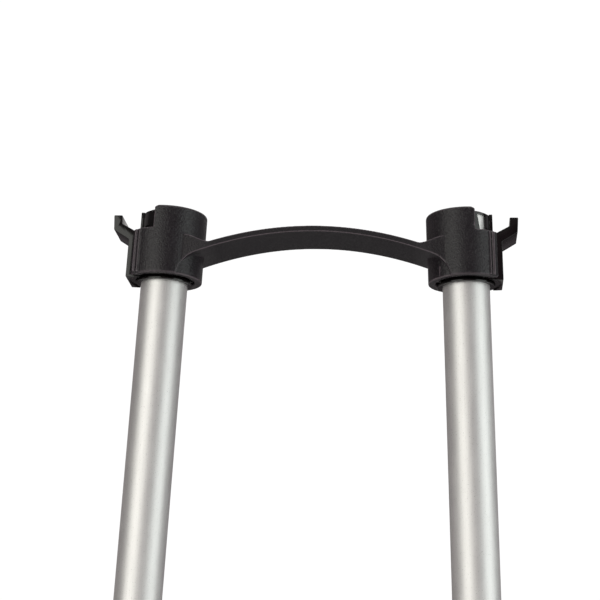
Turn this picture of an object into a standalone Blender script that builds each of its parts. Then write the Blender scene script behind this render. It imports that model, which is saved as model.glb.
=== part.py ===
"""Fold-down end frame of a folding stretcher: two splayed tubes held by a moulded yoke at the top and
hinged to an end rail at the bottom.

World frame: +X across the frame, +Y the way the frame folds, +Z up. The origin is on the middle of the
rail's underside. Each leg also has its own frame, at the tube's axis in the plane of the collar's lower rim:
u points outward, y is the same as in the world, and w runs up along the tube.
"""
import math

import bmesh
import bpy
from mathutils import Matrix, Vector

MM = 0.001
GAP = 0.3 * MM
OVERSHOOT = 1.0 * MM
ROUND_STEPS = 40
MIDDLE_STEPS = 32
SMALL_STEPS = 16
EDGE_STEPS = 3

# Driving dimensions of the whole frame
TUBE_RADIUS = 16.0 * MM
TUBE_WALL = 2.0 * MM
TUBE_SPACING = 206.0 * MM
SPLAY = math.radians(2.14)
RAIL_HEIGHT = 25.0 * MM
PIVOT_HEIGHT = 62.0 * MM
COLLAR_HEIGHT_ABOVE_PIVOT = 540.0 * MM

LEG_LENGTH = COLLAR_HEIGHT_ABOVE_PIVOT / math.cos(SPLAY)
PIVOT_OFFSET = TUBE_SPACING / 2 + COLLAR_HEIGHT_ABOVE_PIVOT * math.tan(SPLAY)

# Yoke: two collars and the arched bridge between them
COLLAR_RADIUS = 26.0 * MM
COLLAR_HEIGHT = 45.9 * MM
COLLAR_BOTTOM = -1.8 * MM
COLLAR_TOP_ROUND = 1.8 * MM
COLLAR_BOTTOM_ROUND = 1.4 * MM
COLLAR_LOWER_RADIUS = 25.6 * MM
BORE_RADIUS = 20.3 * MM
UPPER_BORE_RADIUS = 17.9 * MM
UPPER_BORE_START = 22.0 * MM
BORE_CHAMFER = 0.8 * MM
BOSS_HALF_DEPTH = 21.0 * MM
BOSS_REACH = 19.7 * MM
BOSS_TOP = 29.0 * MM
BOSS_BOTTOM = -0.8 * MM
BOSS_GROOVE_AT = 17.5 * MM
BOSS_GROOVE = 0.8 * MM
NOTCH_START = 6.9 * MM
NOTCH_FLOOR = 30.0 * MM
NOTCH_CORNER_WIDTH = 2.5 * MM
NOTCH_CORNER_DROP = 1.7 * MM
ARCH_HALF_DEPTH = 22.2 * MM
ARCH_CROWN = 32.5 * MM
ARCH_TOP_BEND = 2.24
ARCH_SOFFIT_CROWN = 28.6 * MM
ARCH_SOFFIT_BEND = 2.3
GUSSET_START = 71.0 * MM
GUSSET_END = 88.0 * MM
GUSSET_TOP = 26.1 * MM
BRIDGE_BLOCK_BOTTOM = 4.0 * MM
SOFFIT_SWEEP_RADIUS = 20.0 * MM
SOFFIT_SWEEP_END = 92.8 * MM
SOFFIT_SWEEP_START_DEG = 72.0
ARCH_STEPS = 24
SWEEP_STEPS = 8
BRIDGE_END = TUBE_SPACING / 2 - 4 * MM
TOOL_FOOT = -12 * MM
TOOL_HEAD = 60 * MM

# Liner bush between each tube and its collar
BUSH_INNER_RADIUS = TUBE_RADIUS + 0.25 * MM
BUSH_OUTER_RADIUS = 17.6 * MM
BUSH_BOTTOM = -4.2 * MM
BUSH_FLANGE_RADIUS = 19.2 * MM
BUSH_FLANGE_TOP = -2.6 * MM
BUSH_RIB_BOTTOM = 0.2 * MM
BUSH_TOP = 45.0 * MM
BUSH_RIB_RADIUS = 20.0 * MM
BUSH_RIB_TOP = 8.5 * MM
BUSH_RIBS = 16
BUSH_OVERLAP = 0.4 * MM
BUSH_LIP_REACH = 19.3 * MM
BUSH_LIP_HALF_WIDTH = 4.0 * MM
BUSH_LIP_BOTTOM = 31.5 * MM
BUSH_LIP_TOP = 46.0 * MM
BUSH_WINDOW_ANGLE = math.radians(-47.0)
BUSH_WINDOW_HALF_WIDTH = 4.0 * MM
BUSH_WINDOW_SLANT = 2.0 * MM
BUSH_WINDOW_BOTTOM = 31.0 * MM
BUSH_WINDOW_TOP = 43.6 * MM

# Side latch, its pawl and its pins
LATCH_HALF_WIDTH = 14.1 * MM
LATCH_GAP_HALF_WIDTH = 14.5 * MM
LATCH_GAP_START = 6.0 * MM
LATCH_AXIS_U = 16.6 * MM
LATCH_AXIS_W = 20.0 * MM
LATCH_INNER_FACE = 20.0 * MM
LATCH_OUTER_FACE = 24.9 * MM
LATCH_FOOT = -3.1 * MM
LATCH_FLANGE_TOP = -0.5 * MM
LATCH_FLANGE_REACH = 9.0 * MM
LATCH_FLANGE_RECESS_RADIUS = 23.5 * MM
LATCH_FLANGE_RECESS = 0.8 * MM
LATCH_LUG_INNER = 10.6 * MM
LATCH_LUG_RADIUS = 2.4 * MM
PAWL_TIP = 14.5 * MM
PAWL_HALF_WIDTH = 2.8 * MM
PAWL_BOTTOM = 4.6 * MM
PAWL_TOP = 8.6 * MM
PAWL_SLOT_MARGIN = 0.6 * MM
PAWL_SLOT_START = 12.5 * MM
PIN_RADIUS = 1.5 * MM
PIN_HOLE_RADIUS = 1.6 * MM
PIN_INNER = 10.9 * MM
PIN_OUTER = 18.6 * MM
PIN_HOLE_OUTER = 19.0 * MM
SPRING_W = 25.5 * MM
SPRING_START = 18.3 * MM
SPRING_END = 22.75 * MM
SPRING_COIL_RADIUS = 2.2 * MM
SPRING_WIRE_RADIUS = 0.35 * MM
SPRING_TURNS = 4
SPRING_STEPS = 10
SPRING_POCKET_RADIUS = 3.1 * MM
SPRING_POCKET_FLOOR = 23.4 * MM

# Tube ends
TUBE_TOP = 44.4 * MM
TUBE_END_ABOVE_PIVOT = 24.0 * MM
PLUG_FLANGE_TOP = 45.9 * MM
PLUG_FLANGE_RADIUS = 15.9 * MM
PLUG_SPIGOT_DEPTH = 12.0 * MM
PLUG_WALL = 1.8 * MM
PLUG_EDGE = 0.5 * MM

# Lower socket, its knuckle and its bolt
SOCKET_RADIUS = 21.0 * MM
SOCKET_BORE_RADIUS = TUBE_RADIUS + GAP
SOCKET_BOTTOM = 19.6 * MM
SOCKET_TOP = 74.0 * MM
SOCKET_ROUND = 2.5 * MM
NECK_HALF_DEPTH = 13.0 * MM
NECK_BOTTOM = 2.0 * MM
NECK_OVERLAP = 3.0 * MM
KNUCKLE_RADIUS = 15.0 * MM
KNUCKLE_HALF_WIDTH = 15.0 * MM
KNUCKLE_BORE_RADIUS = 6.3 * MM
HEEL_HALF_WIDTH = 12.0 * MM
HEEL_HALF_DEPTH = 5.0 * MM
HEEL_REACH = 23.0 * MM
HEEL_ROOT = 8.0 * MM
SOCKET_BOLT_ABOVE_PIVOT = 52.0 * MM
SOCKET_BOLT_RADIUS = 3.0 * MM
SOCKET_BOLT_HOLE_RADIUS = 3.3 * MM
SPOT_FACE_RADIUS = 8.5 * MM
SPOT_FACE_DEPTH = 1.5 * MM
BOLT_END_BEYOND_NUT = 2.0 * MM
THREAD_CLEARANCE = 0.15 * MM
HEX_CIRCUMRADIUS = 5.8 * MM
HEX_HEAD = 4.0 * MM
HEX_NUT = 5.0 * MM

# Fold hinge: bracket, clamp bolt, discs and knob
BRACKET_HALF_WIDTH = 32.0 * MM
BRACKET_HALF_DEPTH = 28.0 * MM
BRACKET_PLATE = 4.0 * MM
BRACKET_EDGE = 0.8 * MM
EAR_INNER = 16.8 * MM
EAR_THICKNESS = 4.0 * MM
EAR_RADIUS = 18.0 * MM
CLAMP_BOLT_RADIUS = 4.0 * MM
CLAMP_HOLE_RADIUS = 4.3 * MM
CLAMP_HEAD_RADIUS = 9.0 * MM
CLAMP_HEAD = 4.0 * MM
HINGE_BUSH_INNER_RADIUS = 4.1 * MM
HINGE_BUSH_OUTER_RADIUS = 6.0 * MM
DISC_RADIUS = 14.0 * MM
DISC_THICKNESS = 1.2 * MM
WASHER_RADIUS = 10.0 * MM
WASHER_THICKNESS = 1.5 * MM
KNOB_THICKNESS = 14.0 * MM
KNOB_MEAN_RADIUS = 18.0 * MM
KNOB_LOBE = 2.2 * MM
KNOB_LOBES = 7
LOBE_STEPS = 8
KNOB_HUB_RADIUS = 10.5 * MM
KNOB_HUB_HEIGHT = 3.0 * MM
INSERT_RADIUS = 6.5 * MM
INSERT_LENGTH = 10.0 * MM
KNOB_SEAT_DEPTH = 2.0 * MM
STOP_PIN_RADIUS = 3.0 * MM
STOP_PIN_HOLE_RADIUS = 3.1 * MM
STOP_PIN_DROP = 20.0 * MM

# End rail
RAIL_LENGTH = 340.0 * MM
RAIL_DEPTH = 60.0 * MM
RAIL_WALL = 2.5 * MM
CAP_FLANGE = 3.0 * MM
CAP_SPIGOT = 12.0 * MM
CAP_WALL = 2.5 * MM
SCREW_RADIUS = 3.0 * MM
SCREW_HOLE_RADIUS = 3.3 * MM
SCREW_HEAD_RADIUS = 5.2 * MM
SCREW_HEAD = 3.2 * MM
SCREW_EDGE = 0.8 * MM
SCREW_LENGTH = 15.0 * MM
SCREW_SPREAD_X = 27.0 * MM
SCREW_SPREAD_Y = 18.0 * MM

SIDES = {"left": -1, "right": 1}
# The yoke's nearly tangent walls leave open edges with the exact solver
MANIFOLD_PARTS = {"yoke"}
ALONG_Y = Matrix.Rotation(math.pi / 2, 4, "X")
ALONG_X = Matrix.Rotation(math.pi / 2, 4, "Y")
OUTLINE_XZ = Matrix.Rotation(math.pi / 2, 4, "X")
OUTLINE_YZ = Matrix(((0, 0, 1, 0), (1, 0, 0, 0), (0, 1, 0, 0), (0, 0, 0, 1)))


# Scene, collections and materials

def clear_scene():
    for old in list(bpy.data.objects):
        bpy.data.objects.remove(old, do_unlink=True)


def new_collection(name):
    collection = bpy.data.collections.new(name)
    bpy.context.scene.collection.children.link(collection)
    return collection


def new_material(name, color, roughness, metallic):
    material = bpy.data.materials.new(name)
    material.use_nodes = True
    shader = material.node_tree.nodes["Principled BSDF"]
    shader.inputs["Base Color"].default_value = (*color, 1.0)
    shader.inputs["Roughness"].default_value = roughness
    shader.inputs["Metallic"].default_value = metallic
    return material


clear_scene()
PARTS = new_collection("folding_stretcher_end_frame")
CUTTERS = new_collection("cutters")
MATTE_BLACK = new_material("matte_black_moulding", (0.030, 0.029, 0.030), 0.55, 0.0)
GLOSS_BLACK = new_material("gloss_black_moulding", (0.012, 0.011, 0.012), 0.22, 0.0)
SATIN_ALUMINIUM = new_material("satin_aluminium", (0.78, 0.76, 0.74), 0.32, 1.0)
STEEL = new_material("zinc_steel", (0.56, 0.56, 0.54), 0.30, 1.0)
POWDER_COAT = new_material("powder_coat", (0.045, 0.046, 0.048), 0.45, 0.0)
BRASS = new_material("brass", (0.70, 0.52, 0.24), 0.30, 1.0)
NYLON = new_material("natural_nylon", (0.72, 0.70, 0.64), 0.50, 0.0)


# Object and mesh helpers

def empty(name, parent=None, location=(0, 0, 0), tilt=0.0):
    guide = bpy.data.objects.new(name, None)
    guide.parent = parent
    guide.location = location
    guide.rotation_euler = (0, tilt, 0)
    guide.empty_display_size = 0.02
    CUTTERS.objects.link(guide)
    return guide


def add_part(name, mesh, material, parent=None, location=(0, 0, 0)):
    part = bpy.data.objects.new(name, mesh)
    mesh.name = name
    mesh.materials.clear()
    mesh.materials.append(material)
    part.parent = parent
    part.location = location
    PARTS.objects.link(part)
    return part


def add_tool(mesh, parent=None, location=(0, 0, 0)):
    tool = bpy.data.objects.new("tool", mesh)
    tool.parent = parent
    tool.location = location
    tool.hide_render = True
    tool.display_type = "WIRE"
    CUTTERS.objects.link(tool)
    return tool


def boolean(target, tool, operation):
    modifier = target.modifiers.new(operation.lower(), "BOOLEAN")
    modifier.operation = operation
    modifier.solver = "MANIFOLD" if target.name in MANIFOLD_PARTS else "EXACT"
    modifier.object = tool


def cut(target, tool):
    boolean(target, tool, "DIFFERENCE")


def join(target, tool):
    boolean(target, tool, "UNION")


def smooth(mesh):
    mesh.shade_smooth()
    mesh.set_sharp_from_angle(angle=math.radians(32))


def mesh_from(bm):
    mesh = bpy.data.meshes.new("solid")
    bm.to_mesh(mesh)
    bm.free()
    smooth(mesh)
    return mesh


def box(low, high):
    low, high = Vector(low), Vector(high)
    size = high - low
    matrix = Matrix.Translation((low + high) / 2) @ Matrix.Diagonal((*size, 1.0))
    bm = bmesh.new()
    bmesh.ops.create_cube(bm, size=1.0, matrix=matrix)
    return mesh_from(bm)


def rounded_box(low, high, radius):
    bm = bmesh.new()
    bm.from_mesh(box(low, high))
    bmesh.ops.bevel(bm, geom=bm.edges[:], offset=radius, segments=2, profile=0.5, affect="EDGES")
    return mesh_from(bm)


def rod(radius, start, end, direction=Matrix.Identity(4), steps=SMALL_STEPS, center=(0, 0, 0)):
    """A cylinder from start to end along Z, turned by direction and moved to center."""
    bm = bmesh.new()
    shift = Matrix.Translation((0, 0, (start + end) / 2))
    matrix = Matrix.Translation(center) @ direction @ shift
    bmesh.ops.create_cone(bm, cap_ends=True, segments=steps, radius1=radius, radius2=radius,
                          depth=abs(end - start), matrix=matrix)
    return mesh_from(bm)


def curve_to_mesh(curve, matrix=Matrix.Identity(4)):
    """The welded mesh of a curve, turned by matrix."""
    holder = bpy.data.objects.new("holder", curve)
    CUTTERS.objects.link(holder)
    depsgraph = bpy.context.evaluated_depsgraph_get()
    mesh = bpy.data.meshes.new_from_object(holder.evaluated_get(depsgraph))
    bpy.data.objects.remove(holder, do_unlink=True)
    bm = bmesh.new()
    bm.from_mesh(mesh)
    bmesh.ops.transform(bm, matrix=matrix, verts=bm.verts)
    bmesh.ops.remove_doubles(bm, verts=bm.verts, dist=0.002 * MM)
    bmesh.ops.recalc_face_normals(bm, faces=bm.faces)
    return mesh_from(bm)


def extruded(outlines, start, end, plane):
    """A flat outline, or an outline with holes, extruded from start to end along the plane's normal."""
    curve = bpy.data.curves.new("outline", "CURVE")
    curve.dimensions = "2D"
    curve.fill_mode = "BOTH"
    curve.extrude = abs(end - start) / 2
    for outline in outlines:
        spline = curve.splines.new("POLY")
        spline.points.add(len(outline) - 1)
        spline.use_cyclic_u = True
        for point, (a, b) in zip(spline.points, outline):
            point.co = (a, b, 0, 1)
    return curve_to_mesh(curve, plane @ Matrix.Translation((0, 0, (start + end) / 2)))


def circle(radius, steps, center=(0, 0)):
    turns = [2 * math.pi * i / steps for i in range(steps)]
    return [(center[0] + radius * math.cos(t), center[1] + radius * math.sin(t)) for t in turns]


def arc(center, radius, start_deg, end_deg, steps):
    """Points of an arc in a plane, both ends included."""
    span = math.radians(end_deg - start_deg)
    angles = [math.radians(start_deg) + span * i / steps for i in range(steps + 1)]
    return [(center[0] + radius * math.cos(a), center[1] + radius * math.sin(a)) for a in angles]


def profile_mesh(points, closed):
    mesh = bpy.data.meshes.new("profile")
    edges = [(i, i + 1) for i in range(len(points) - 1)]
    if closed:
        edges.append((len(points) - 1, 0))
    mesh.from_pydata([(r, 0, z) for r, z in points], edges, [])
    return mesh


def spin(target, steps=ROUND_STEPS):
    """Turns a profile, which runs down its outer side, about the object's Z axis."""
    screw = target.modifiers.new("turn", "SCREW")
    screw.axis = "Z"
    screw.steps = steps
    screw.render_steps = steps
    screw.use_merge_vertices = True
    screw.merge_threshold = 0.00001
    screw.use_smooth_shade = True


def disc_outline(radius, bottom, top, round_bottom, round_top):
    """Profile of a solid round body from its axis at the top to its axis at the bottom."""
    upper = arc((radius - round_top, top - round_top), round_top, 90, 0, EDGE_STEPS)
    lower = arc((radius - round_bottom, bottom + round_bottom), round_bottom, 0, -90, EDGE_STEPS)
    return [(0, top)] + upper + lower + [(0, bottom)]


def ring_outline(inner, outer, bottom, top):
    """Closed section of a plain ring."""
    return [(outer, top), (outer, bottom), (inner, bottom), (inner, top)]


def turned_part(name, points, closed, material, parent=None, location=(0, 0, 0), steps=ROUND_STEPS):
    part = add_part(name, profile_mesh(points, closed), material, parent, location)
    spin(part, steps)
    return part


def turned_tool(points, closed, parent=None, location=(0, 0, 0), steps=ROUND_STEPS):
    tool = add_tool(profile_mesh(points, closed), parent, location)
    spin(tool, steps)
    return tool


def side_box(side, low, high):
    """A box given with u outward, mirrored for the left side."""
    u_values = sorted((side * low[0], side * high[0]))
    return box((u_values[0], low[1], low[2]), (u_values[1], high[1], high[2]))


# Guides: everything above the rail turns about the fold axis

FOLD_AXIS = empty("fold_axis", None, (0, 0, PIVOT_HEIGHT))
LEGS = {}
KNUCKLES = {}
for side_name, side_sign in SIDES.items():
    leg_place = (side_sign * TUBE_SPACING / 2, 0, COLLAR_HEIGHT_ABOVE_PIVOT)
    LEGS[side_name] = empty("leg_" + side_name, FOLD_AXIS, leg_place, -side_sign * SPLAY)
    KNUCKLES[side_name] = empty("knuckle_" + side_name, FOLD_AXIS, (side_sign * PIVOT_OFFSET, 0, 0))


# Yoke

def arch_top(x):
    """Height of the bridge's upper face above the collar plane, with the rise of the gusset."""
    crown = ARCH_CROWN - ARCH_TOP_BEND * min(x, GUSSET_START) ** 2
    share = min(max((x - GUSSET_START) / (GUSSET_END - GUSSET_START), 0.0), 1.0)
    return crown + (GUSSET_TOP - crown) * share * share * (3 - 2 * share)


def soffit_half():
    """Underside of the bridge from mid-span outward, ending in the sweep down the collar."""
    center_x = SOFFIT_SWEEP_END - SOFFIT_SWEEP_RADIUS
    tangent = math.radians(SOFFIT_SWEEP_START_DEG)
    meet_x = center_x + SOFFIT_SWEEP_RADIUS * math.cos(tangent)
    meet_z = ARCH_SOFFIT_CROWN - ARCH_SOFFIT_BEND * meet_x ** 2
    center_z = meet_z - SOFFIT_SWEEP_RADIUS * math.sin(tangent)
    half_steps = ARCH_STEPS // 2
    span = [meet_x * i / half_steps for i in range(half_steps)]
    points = [(x, ARCH_SOFFIT_CROWN - ARCH_SOFFIT_BEND * x * x) for x in span]
    return points + arc((center_x, center_z), SOFFIT_SWEEP_RADIUS, SOFFIT_SWEEP_START_DEG, 0,
                        SWEEP_STEPS)


def mirrored_run(half):
    """A run of points from -X to +X, from the half that starts at the middle."""
    return [(-x, z) for x, z in reversed(half[1:])] + half


def bridge_mesh():
    """Block under the bridge's upper face, before the soffit is cut."""
    places = [BRIDGE_END * i / ARCH_STEPS for i in range(ARCH_STEPS + 1)]
    top_half = [(x, arch_top(x)) for x in places]
    foot = [(BRIDGE_END, BRIDGE_BLOCK_BOTTOM), (-BRIDGE_END, BRIDGE_BLOCK_BOTTOM)]
    outline = mirrored_run(top_half) + foot
    return extruded([outline], -ARCH_HALF_DEPTH, ARCH_HALF_DEPTH, OUTLINE_XZ)


def soffit_tool():
    """The space under the soffit, which leaves a narrower wall low on each collar's inner face."""
    foot = [(SOFFIT_SWEEP_END, TOOL_FOOT), (-SOFFIT_SWEEP_END, TOOL_FOOT)]
    reach = COLLAR_RADIUS + OVERSHOOT
    space = extruded([mirrored_run(soffit_half()) + foot], -reach, reach, OUTLINE_XZ)
    tool = add_tool(space, FOLD_AXIS, (0, 0, COLLAR_HEIGHT_ABOVE_PIVOT))
    for leg in LEGS.values():
        core = rod(COLLAR_LOWER_RADIUS, TOOL_FOOT - 2 * OVERSHOOT, TOOL_HEAD, steps=ROUND_STEPS)
        cut(tool, add_tool(core, leg))
    return tool


def bore_profile():
    """Stepped bore with a chamfered mouth, down its outer side from the top."""
    return [(0, COLLAR_HEIGHT + OVERSHOOT), (UPPER_BORE_RADIUS, COLLAR_HEIGHT + OVERSHOOT),
            (UPPER_BORE_RADIUS, UPPER_BORE_START), (BORE_RADIUS, UPPER_BORE_START),
            (BORE_RADIUS, COLLAR_BOTTOM + BORE_CHAMFER),
            (BORE_RADIUS + BORE_CHAMFER + OVERSHOOT, COLLAR_BOTTOM - OVERSHOOT),
            (0, COLLAR_BOTTOM - OVERSHOOT)]


def add_collar(yoke, side, leg):
    outline = disc_outline(COLLAR_RADIUS, COLLAR_BOTTOM, COLLAR_HEIGHT, COLLAR_BOTTOM_ROUND, COLLAR_TOP_ROUND)
    join(yoke, turned_tool(outline, False, leg))
    boss = side_box(side, (0, -BOSS_HALF_DEPTH, BOSS_BOTTOM), (BOSS_REACH, BOSS_HALF_DEPTH, BOSS_TOP))
    join(yoke, add_tool(boss, leg))


def notch_corner(side, reach):
    """The slanted corner between the collar's top face and the notch's side."""
    slope = NOTCH_CORNER_DROP / NOTCH_CORNER_WIDTH
    high = COLLAR_HEIGHT + OVERSHOOT
    outline = [(NOTCH_START - NOTCH_CORNER_WIDTH - OVERSHOOT / slope, high),
               (NOTCH_START + OVERSHOOT, COLLAR_HEIGHT - NOTCH_CORNER_DROP - OVERSHOOT * slope),
               (NOTCH_START + OVERSHOOT, high)]
    return extruded([[(side * u, w) for u, w in outline]], -reach, reach, OUTLINE_XZ)


def open_collar(yoke, side, leg):
    """Cuts the bore, the latch's gap, the sight notch, the boss grooves and the pin holes."""
    cut(yoke, turned_tool(bore_profile(), False, leg))
    top = COLLAR_HEIGHT + OVERSHOOT
    far = COLLAR_RADIUS + 2 * OVERSHOOT
    gap_low = (LATCH_GAP_START, -LATCH_GAP_HALF_WIDTH, COLLAR_BOTTOM - OVERSHOOT)
    gap_high = (far, LATCH_GAP_HALF_WIDTH, NOTCH_FLOOR + OVERSHOOT)
    cut(yoke, add_tool(side_box(side, gap_low, gap_high), leg))
    cut(yoke, add_tool(side_box(side, (NOTCH_START, -far, NOTCH_FLOOR), (far, far, top)), leg))
    cut(yoke, add_tool(notch_corner(side, far), leg))
    for front in (-1, 1):
        groove = sorted((front * (BOSS_HALF_DEPTH - BOSS_GROOVE), front * (BOSS_HALF_DEPTH + OVERSHOOT)))
        low = (BOSS_GROOVE_AT - BOSS_GROOVE / 2, groove[0], BOSS_BOTTOM - OVERSHOOT)
        high = (BOSS_GROOVE_AT + BOSS_GROOVE / 2, groove[1], BOSS_TOP + OVERSHOOT)
        cut(yoke, add_tool(side_box(side, low, high), leg))
        ends = sorted((-front * (LATCH_GAP_HALF_WIDTH - OVERSHOOT), -front * PIN_HOLE_OUTER))
        center = (side * LATCH_AXIS_U, 0, LATCH_AXIS_W)
        cut(yoke, add_tool(rod(PIN_HOLE_RADIUS, ends[0], ends[1], ALONG_Y, center=center), leg))


def make_yoke():
    place = (0, 0, COLLAR_HEIGHT_ABOVE_PIVOT)
    yoke = add_part("yoke", bridge_mesh(), MATTE_BLACK, FOLD_AXIS, place)
    for name, side in SIDES.items():
        add_collar(yoke, side, LEGS[name])
    cut(yoke, soffit_tool())
    for name, side in SIDES.items():
        open_collar(yoke, side, LEGS[name])
    return yoke


# Tubes, plugs and liner bushes

def pawl_slot(side, leg):
    half = PAWL_HALF_WIDTH + PAWL_SLOT_MARGIN
    low = (PAWL_SLOT_START, -half, PAWL_BOTTOM - PAWL_SLOT_MARGIN)
    high = (BUSH_RIB_RADIUS + OVERSHOOT, half, PAWL_TOP + PAWL_SLOT_MARGIN)
    return add_tool(side_box(side, low, high), leg)


def make_tube(name, side, leg):
    bottom = TUBE_END_ABOVE_PIVOT - LEG_LENGTH
    section = ring_outline(TUBE_RADIUS - TUBE_WALL, TUBE_RADIUS, bottom, TUBE_TOP)
    tube = turned_part("tube_" + name, section, True, SATIN_ALUMINIUM, leg)
    cut(tube, pawl_slot(side, leg))
    reach = TUBE_RADIUS + OVERSHOOT
    center = (0, 0, SOCKET_BOLT_ABOVE_PIVOT - LEG_LENGTH)
    cut(tube, add_tool(rod(SOCKET_BOLT_HOLE_RADIUS, -reach, reach, ALONG_Y, center=center), leg))


def make_plug(name, leg):
    spigot = TUBE_RADIUS - TUBE_WALL - GAP
    flange_bottom = TUBE_TOP + GAP
    points = [(0, PLUG_FLANGE_TOP), (PLUG_FLANGE_RADIUS - PLUG_EDGE, PLUG_FLANGE_TOP),
              (PLUG_FLANGE_RADIUS, PLUG_FLANGE_TOP - PLUG_EDGE), (PLUG_FLANGE_RADIUS, flange_bottom),
              (spigot, flange_bottom), (spigot, flange_bottom - PLUG_SPIGOT_DEPTH),
              (spigot - PLUG_WALL, flange_bottom - PLUG_SPIGOT_DEPTH), (spigot - PLUG_WALL, flange_bottom),
              (0, flange_bottom)]
    turned_part("tube_plug_" + name, points, False, GLOSS_BLACK, leg)


def ribbed_outline():
    """Crown of ribs: the radius steps between the sleeve and the rib tops."""
    points = []
    pitch = 2 * math.pi / BUSH_RIBS
    root = BUSH_OUTER_RADIUS - BUSH_OVERLAP
    for rib in range(BUSH_RIBS):
        for share, radius in ((-0.26, root), (-0.24, BUSH_RIB_RADIUS), (0.24, BUSH_RIB_RADIUS),
                              (0.26, root)):
            angle = (rib + share) * pitch
            points.append((radius * math.cos(angle), radius * math.sin(angle)))
    return points


def bush_window(side, leg):
    """Window whose front side slants. The left bush is the same part as the right one, turned half round."""
    half = BUSH_WINDOW_HALF_WIDTH
    outline = [(BUSH_WINDOW_SLANT - half, BUSH_WINDOW_BOTTOM), (half, BUSH_WINDOW_BOTTOM),
               (half, BUSH_WINDOW_TOP), (-half, BUSH_WINDOW_TOP)]
    turn = BUSH_WINDOW_ANGLE if side > 0 else BUSH_WINDOW_ANGLE + math.pi
    return add_tool(extruded([outline], TUBE_RADIUS - OVERSHOOT, BUSH_RIB_RADIUS,
                             Matrix.Rotation(turn, 4, "Z") @ OUTLINE_YZ), leg)


def make_bush(name, side, leg):
    section = [(BUSH_INNER_RADIUS, BUSH_TOP), (BUSH_OUTER_RADIUS, BUSH_TOP), (BUSH_OUTER_RADIUS, BUSH_FLANGE_TOP),
               (BUSH_FLANGE_RADIUS, BUSH_FLANGE_TOP), (BUSH_FLANGE_RADIUS, BUSH_BOTTOM),
               (BUSH_INNER_RADIUS, BUSH_BOTTOM)]
    bush = turned_part("liner_bush_" + name, section, True, GLOSS_BLACK, leg)
    inner = circle(BUSH_INNER_RADIUS + BUSH_OVERLAP / 2, ROUND_STEPS)
    crown = extruded([ribbed_outline(), inner], BUSH_RIB_BOTTOM, BUSH_RIB_TOP, Matrix.Identity(4))
    join(bush, add_tool(crown, leg))
    lip_low = (BUSH_OUTER_RADIUS - 2 * BUSH_OVERLAP, -BUSH_LIP_HALF_WIDTH, BUSH_LIP_BOTTOM)
    lip_high = (BUSH_LIP_REACH, BUSH_LIP_HALF_WIDTH, BUSH_LIP_TOP)
    join(bush, add_tool(side_box(side, lip_low, lip_high), leg))
    cut(bush, pawl_slot(side, leg))
    cut(bush, bush_window(side, leg))


# Side latches

def latch_outline(side):
    """Profile of plate, slanted neck, finger tab and lower flange, outward u against w."""
    points = [(LATCH_OUTER_FACE, LATCH_FOOT), (LATCH_OUTER_FACE, 23.7 * MM), (35.6 * MM, 29.9 * MM),
              (36.3 * MM, 40.2 * MM), (30.5 * MM, 40.4 * MM), (30.2 * MM, 34.4 * MM),
              (LATCH_INNER_FACE, 29.2 * MM), (LATCH_INNER_FACE, LATCH_FLANGE_TOP),
              (LATCH_FLANGE_REACH, LATCH_FLANGE_TOP), (LATCH_FLANGE_REACH, LATCH_FOOT)]
    return [(side * u, w) for u, w in points]


def lug_outline(side):
    round_end = arc((LATCH_AXIS_U, LATCH_AXIS_W), LATCH_LUG_RADIUS, 90, 270, 10)
    root = LATCH_INNER_FACE + OVERSHOOT
    points = round_end + [(root, LATCH_AXIS_W - LATCH_LUG_RADIUS), (root, LATCH_AXIS_W + LATCH_LUG_RADIUS)]
    return [(side * u, w) for u, w in points]


def make_latch(name, side, leg):
    axis = Vector((side * LATCH_AXIS_U, 0, LATCH_AXIS_W))
    mesh = extruded([latch_outline(side)], -LATCH_HALF_WIDTH, LATCH_HALF_WIDTH, OUTLINE_XZ)
    mesh.transform(Matrix.Translation(-axis))
    latch = add_part("latch_" + name, mesh, GLOSS_BLACK, leg, axis)
    for front in (-1, 1):
        ends = sorted((front * LATCH_LUG_INNER, front * (LATCH_HALF_WIDTH - GAP)))
        join(latch, add_tool(extruded([lug_outline(side)], ends[0], ends[1], OUTLINE_XZ), leg))
    pawl_low = (PAWL_TIP, -PAWL_HALF_WIDTH, PAWL_BOTTOM)
    pawl_high = (LATCH_INNER_FACE + OVERSHOOT, PAWL_HALF_WIDTH, PAWL_TOP)
    join(latch, add_tool(side_box(side, pawl_low, pawl_high), leg))
    flange_top = LATCH_FLANGE_TOP + OVERSHOOT / 2
    clearance = BUSH_FLANGE_RADIUS + 2 * GAP
    cut(latch, add_tool(rod(clearance, LATCH_FOOT - OVERSHOOT, flange_top, steps=ROUND_STEPS), leg))
    recess_top = LATCH_FOOT + LATCH_FLANGE_RECESS
    recess = rod(LATCH_FLANGE_RECESS_RADIUS, LATCH_FOOT - OVERSHOOT, recess_top, steps=ROUND_STEPS)
    cut(latch, add_tool(recess, leg))
    reach = LATCH_HALF_WIDTH + OVERSHOOT
    cut(latch, add_tool(rod(PIN_HOLE_RADIUS, -reach, reach, ALONG_Y, center=axis), leg))
    pocket = rod(SPRING_POCKET_RADIUS, LATCH_INNER_FACE - OVERSHOOT, SPRING_POCKET_FLOOR,
                 Matrix.Rotation(side * math.pi / 2, 4, "Y"), center=(0, 0, SPRING_W))
    cut(latch, add_tool(pocket, leg))


def make_latch_pins(name, side, leg):
    """Two short pins on one axis, front and back of the liner bush."""
    axis = Vector((side * LATCH_AXIS_U, 0, LATCH_AXIS_W))
    front = rod(PIN_RADIUS, PIN_INNER, PIN_OUTER, ALONG_Y)
    back = rod(PIN_RADIUS, -PIN_OUTER, -PIN_INNER, ALONG_Y)
    add_part("latch_pin_" + name + "_front", front, STEEL, leg, axis)
    add_part("latch_pin_" + name + "_back", back, STEEL, leg, axis)


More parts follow.
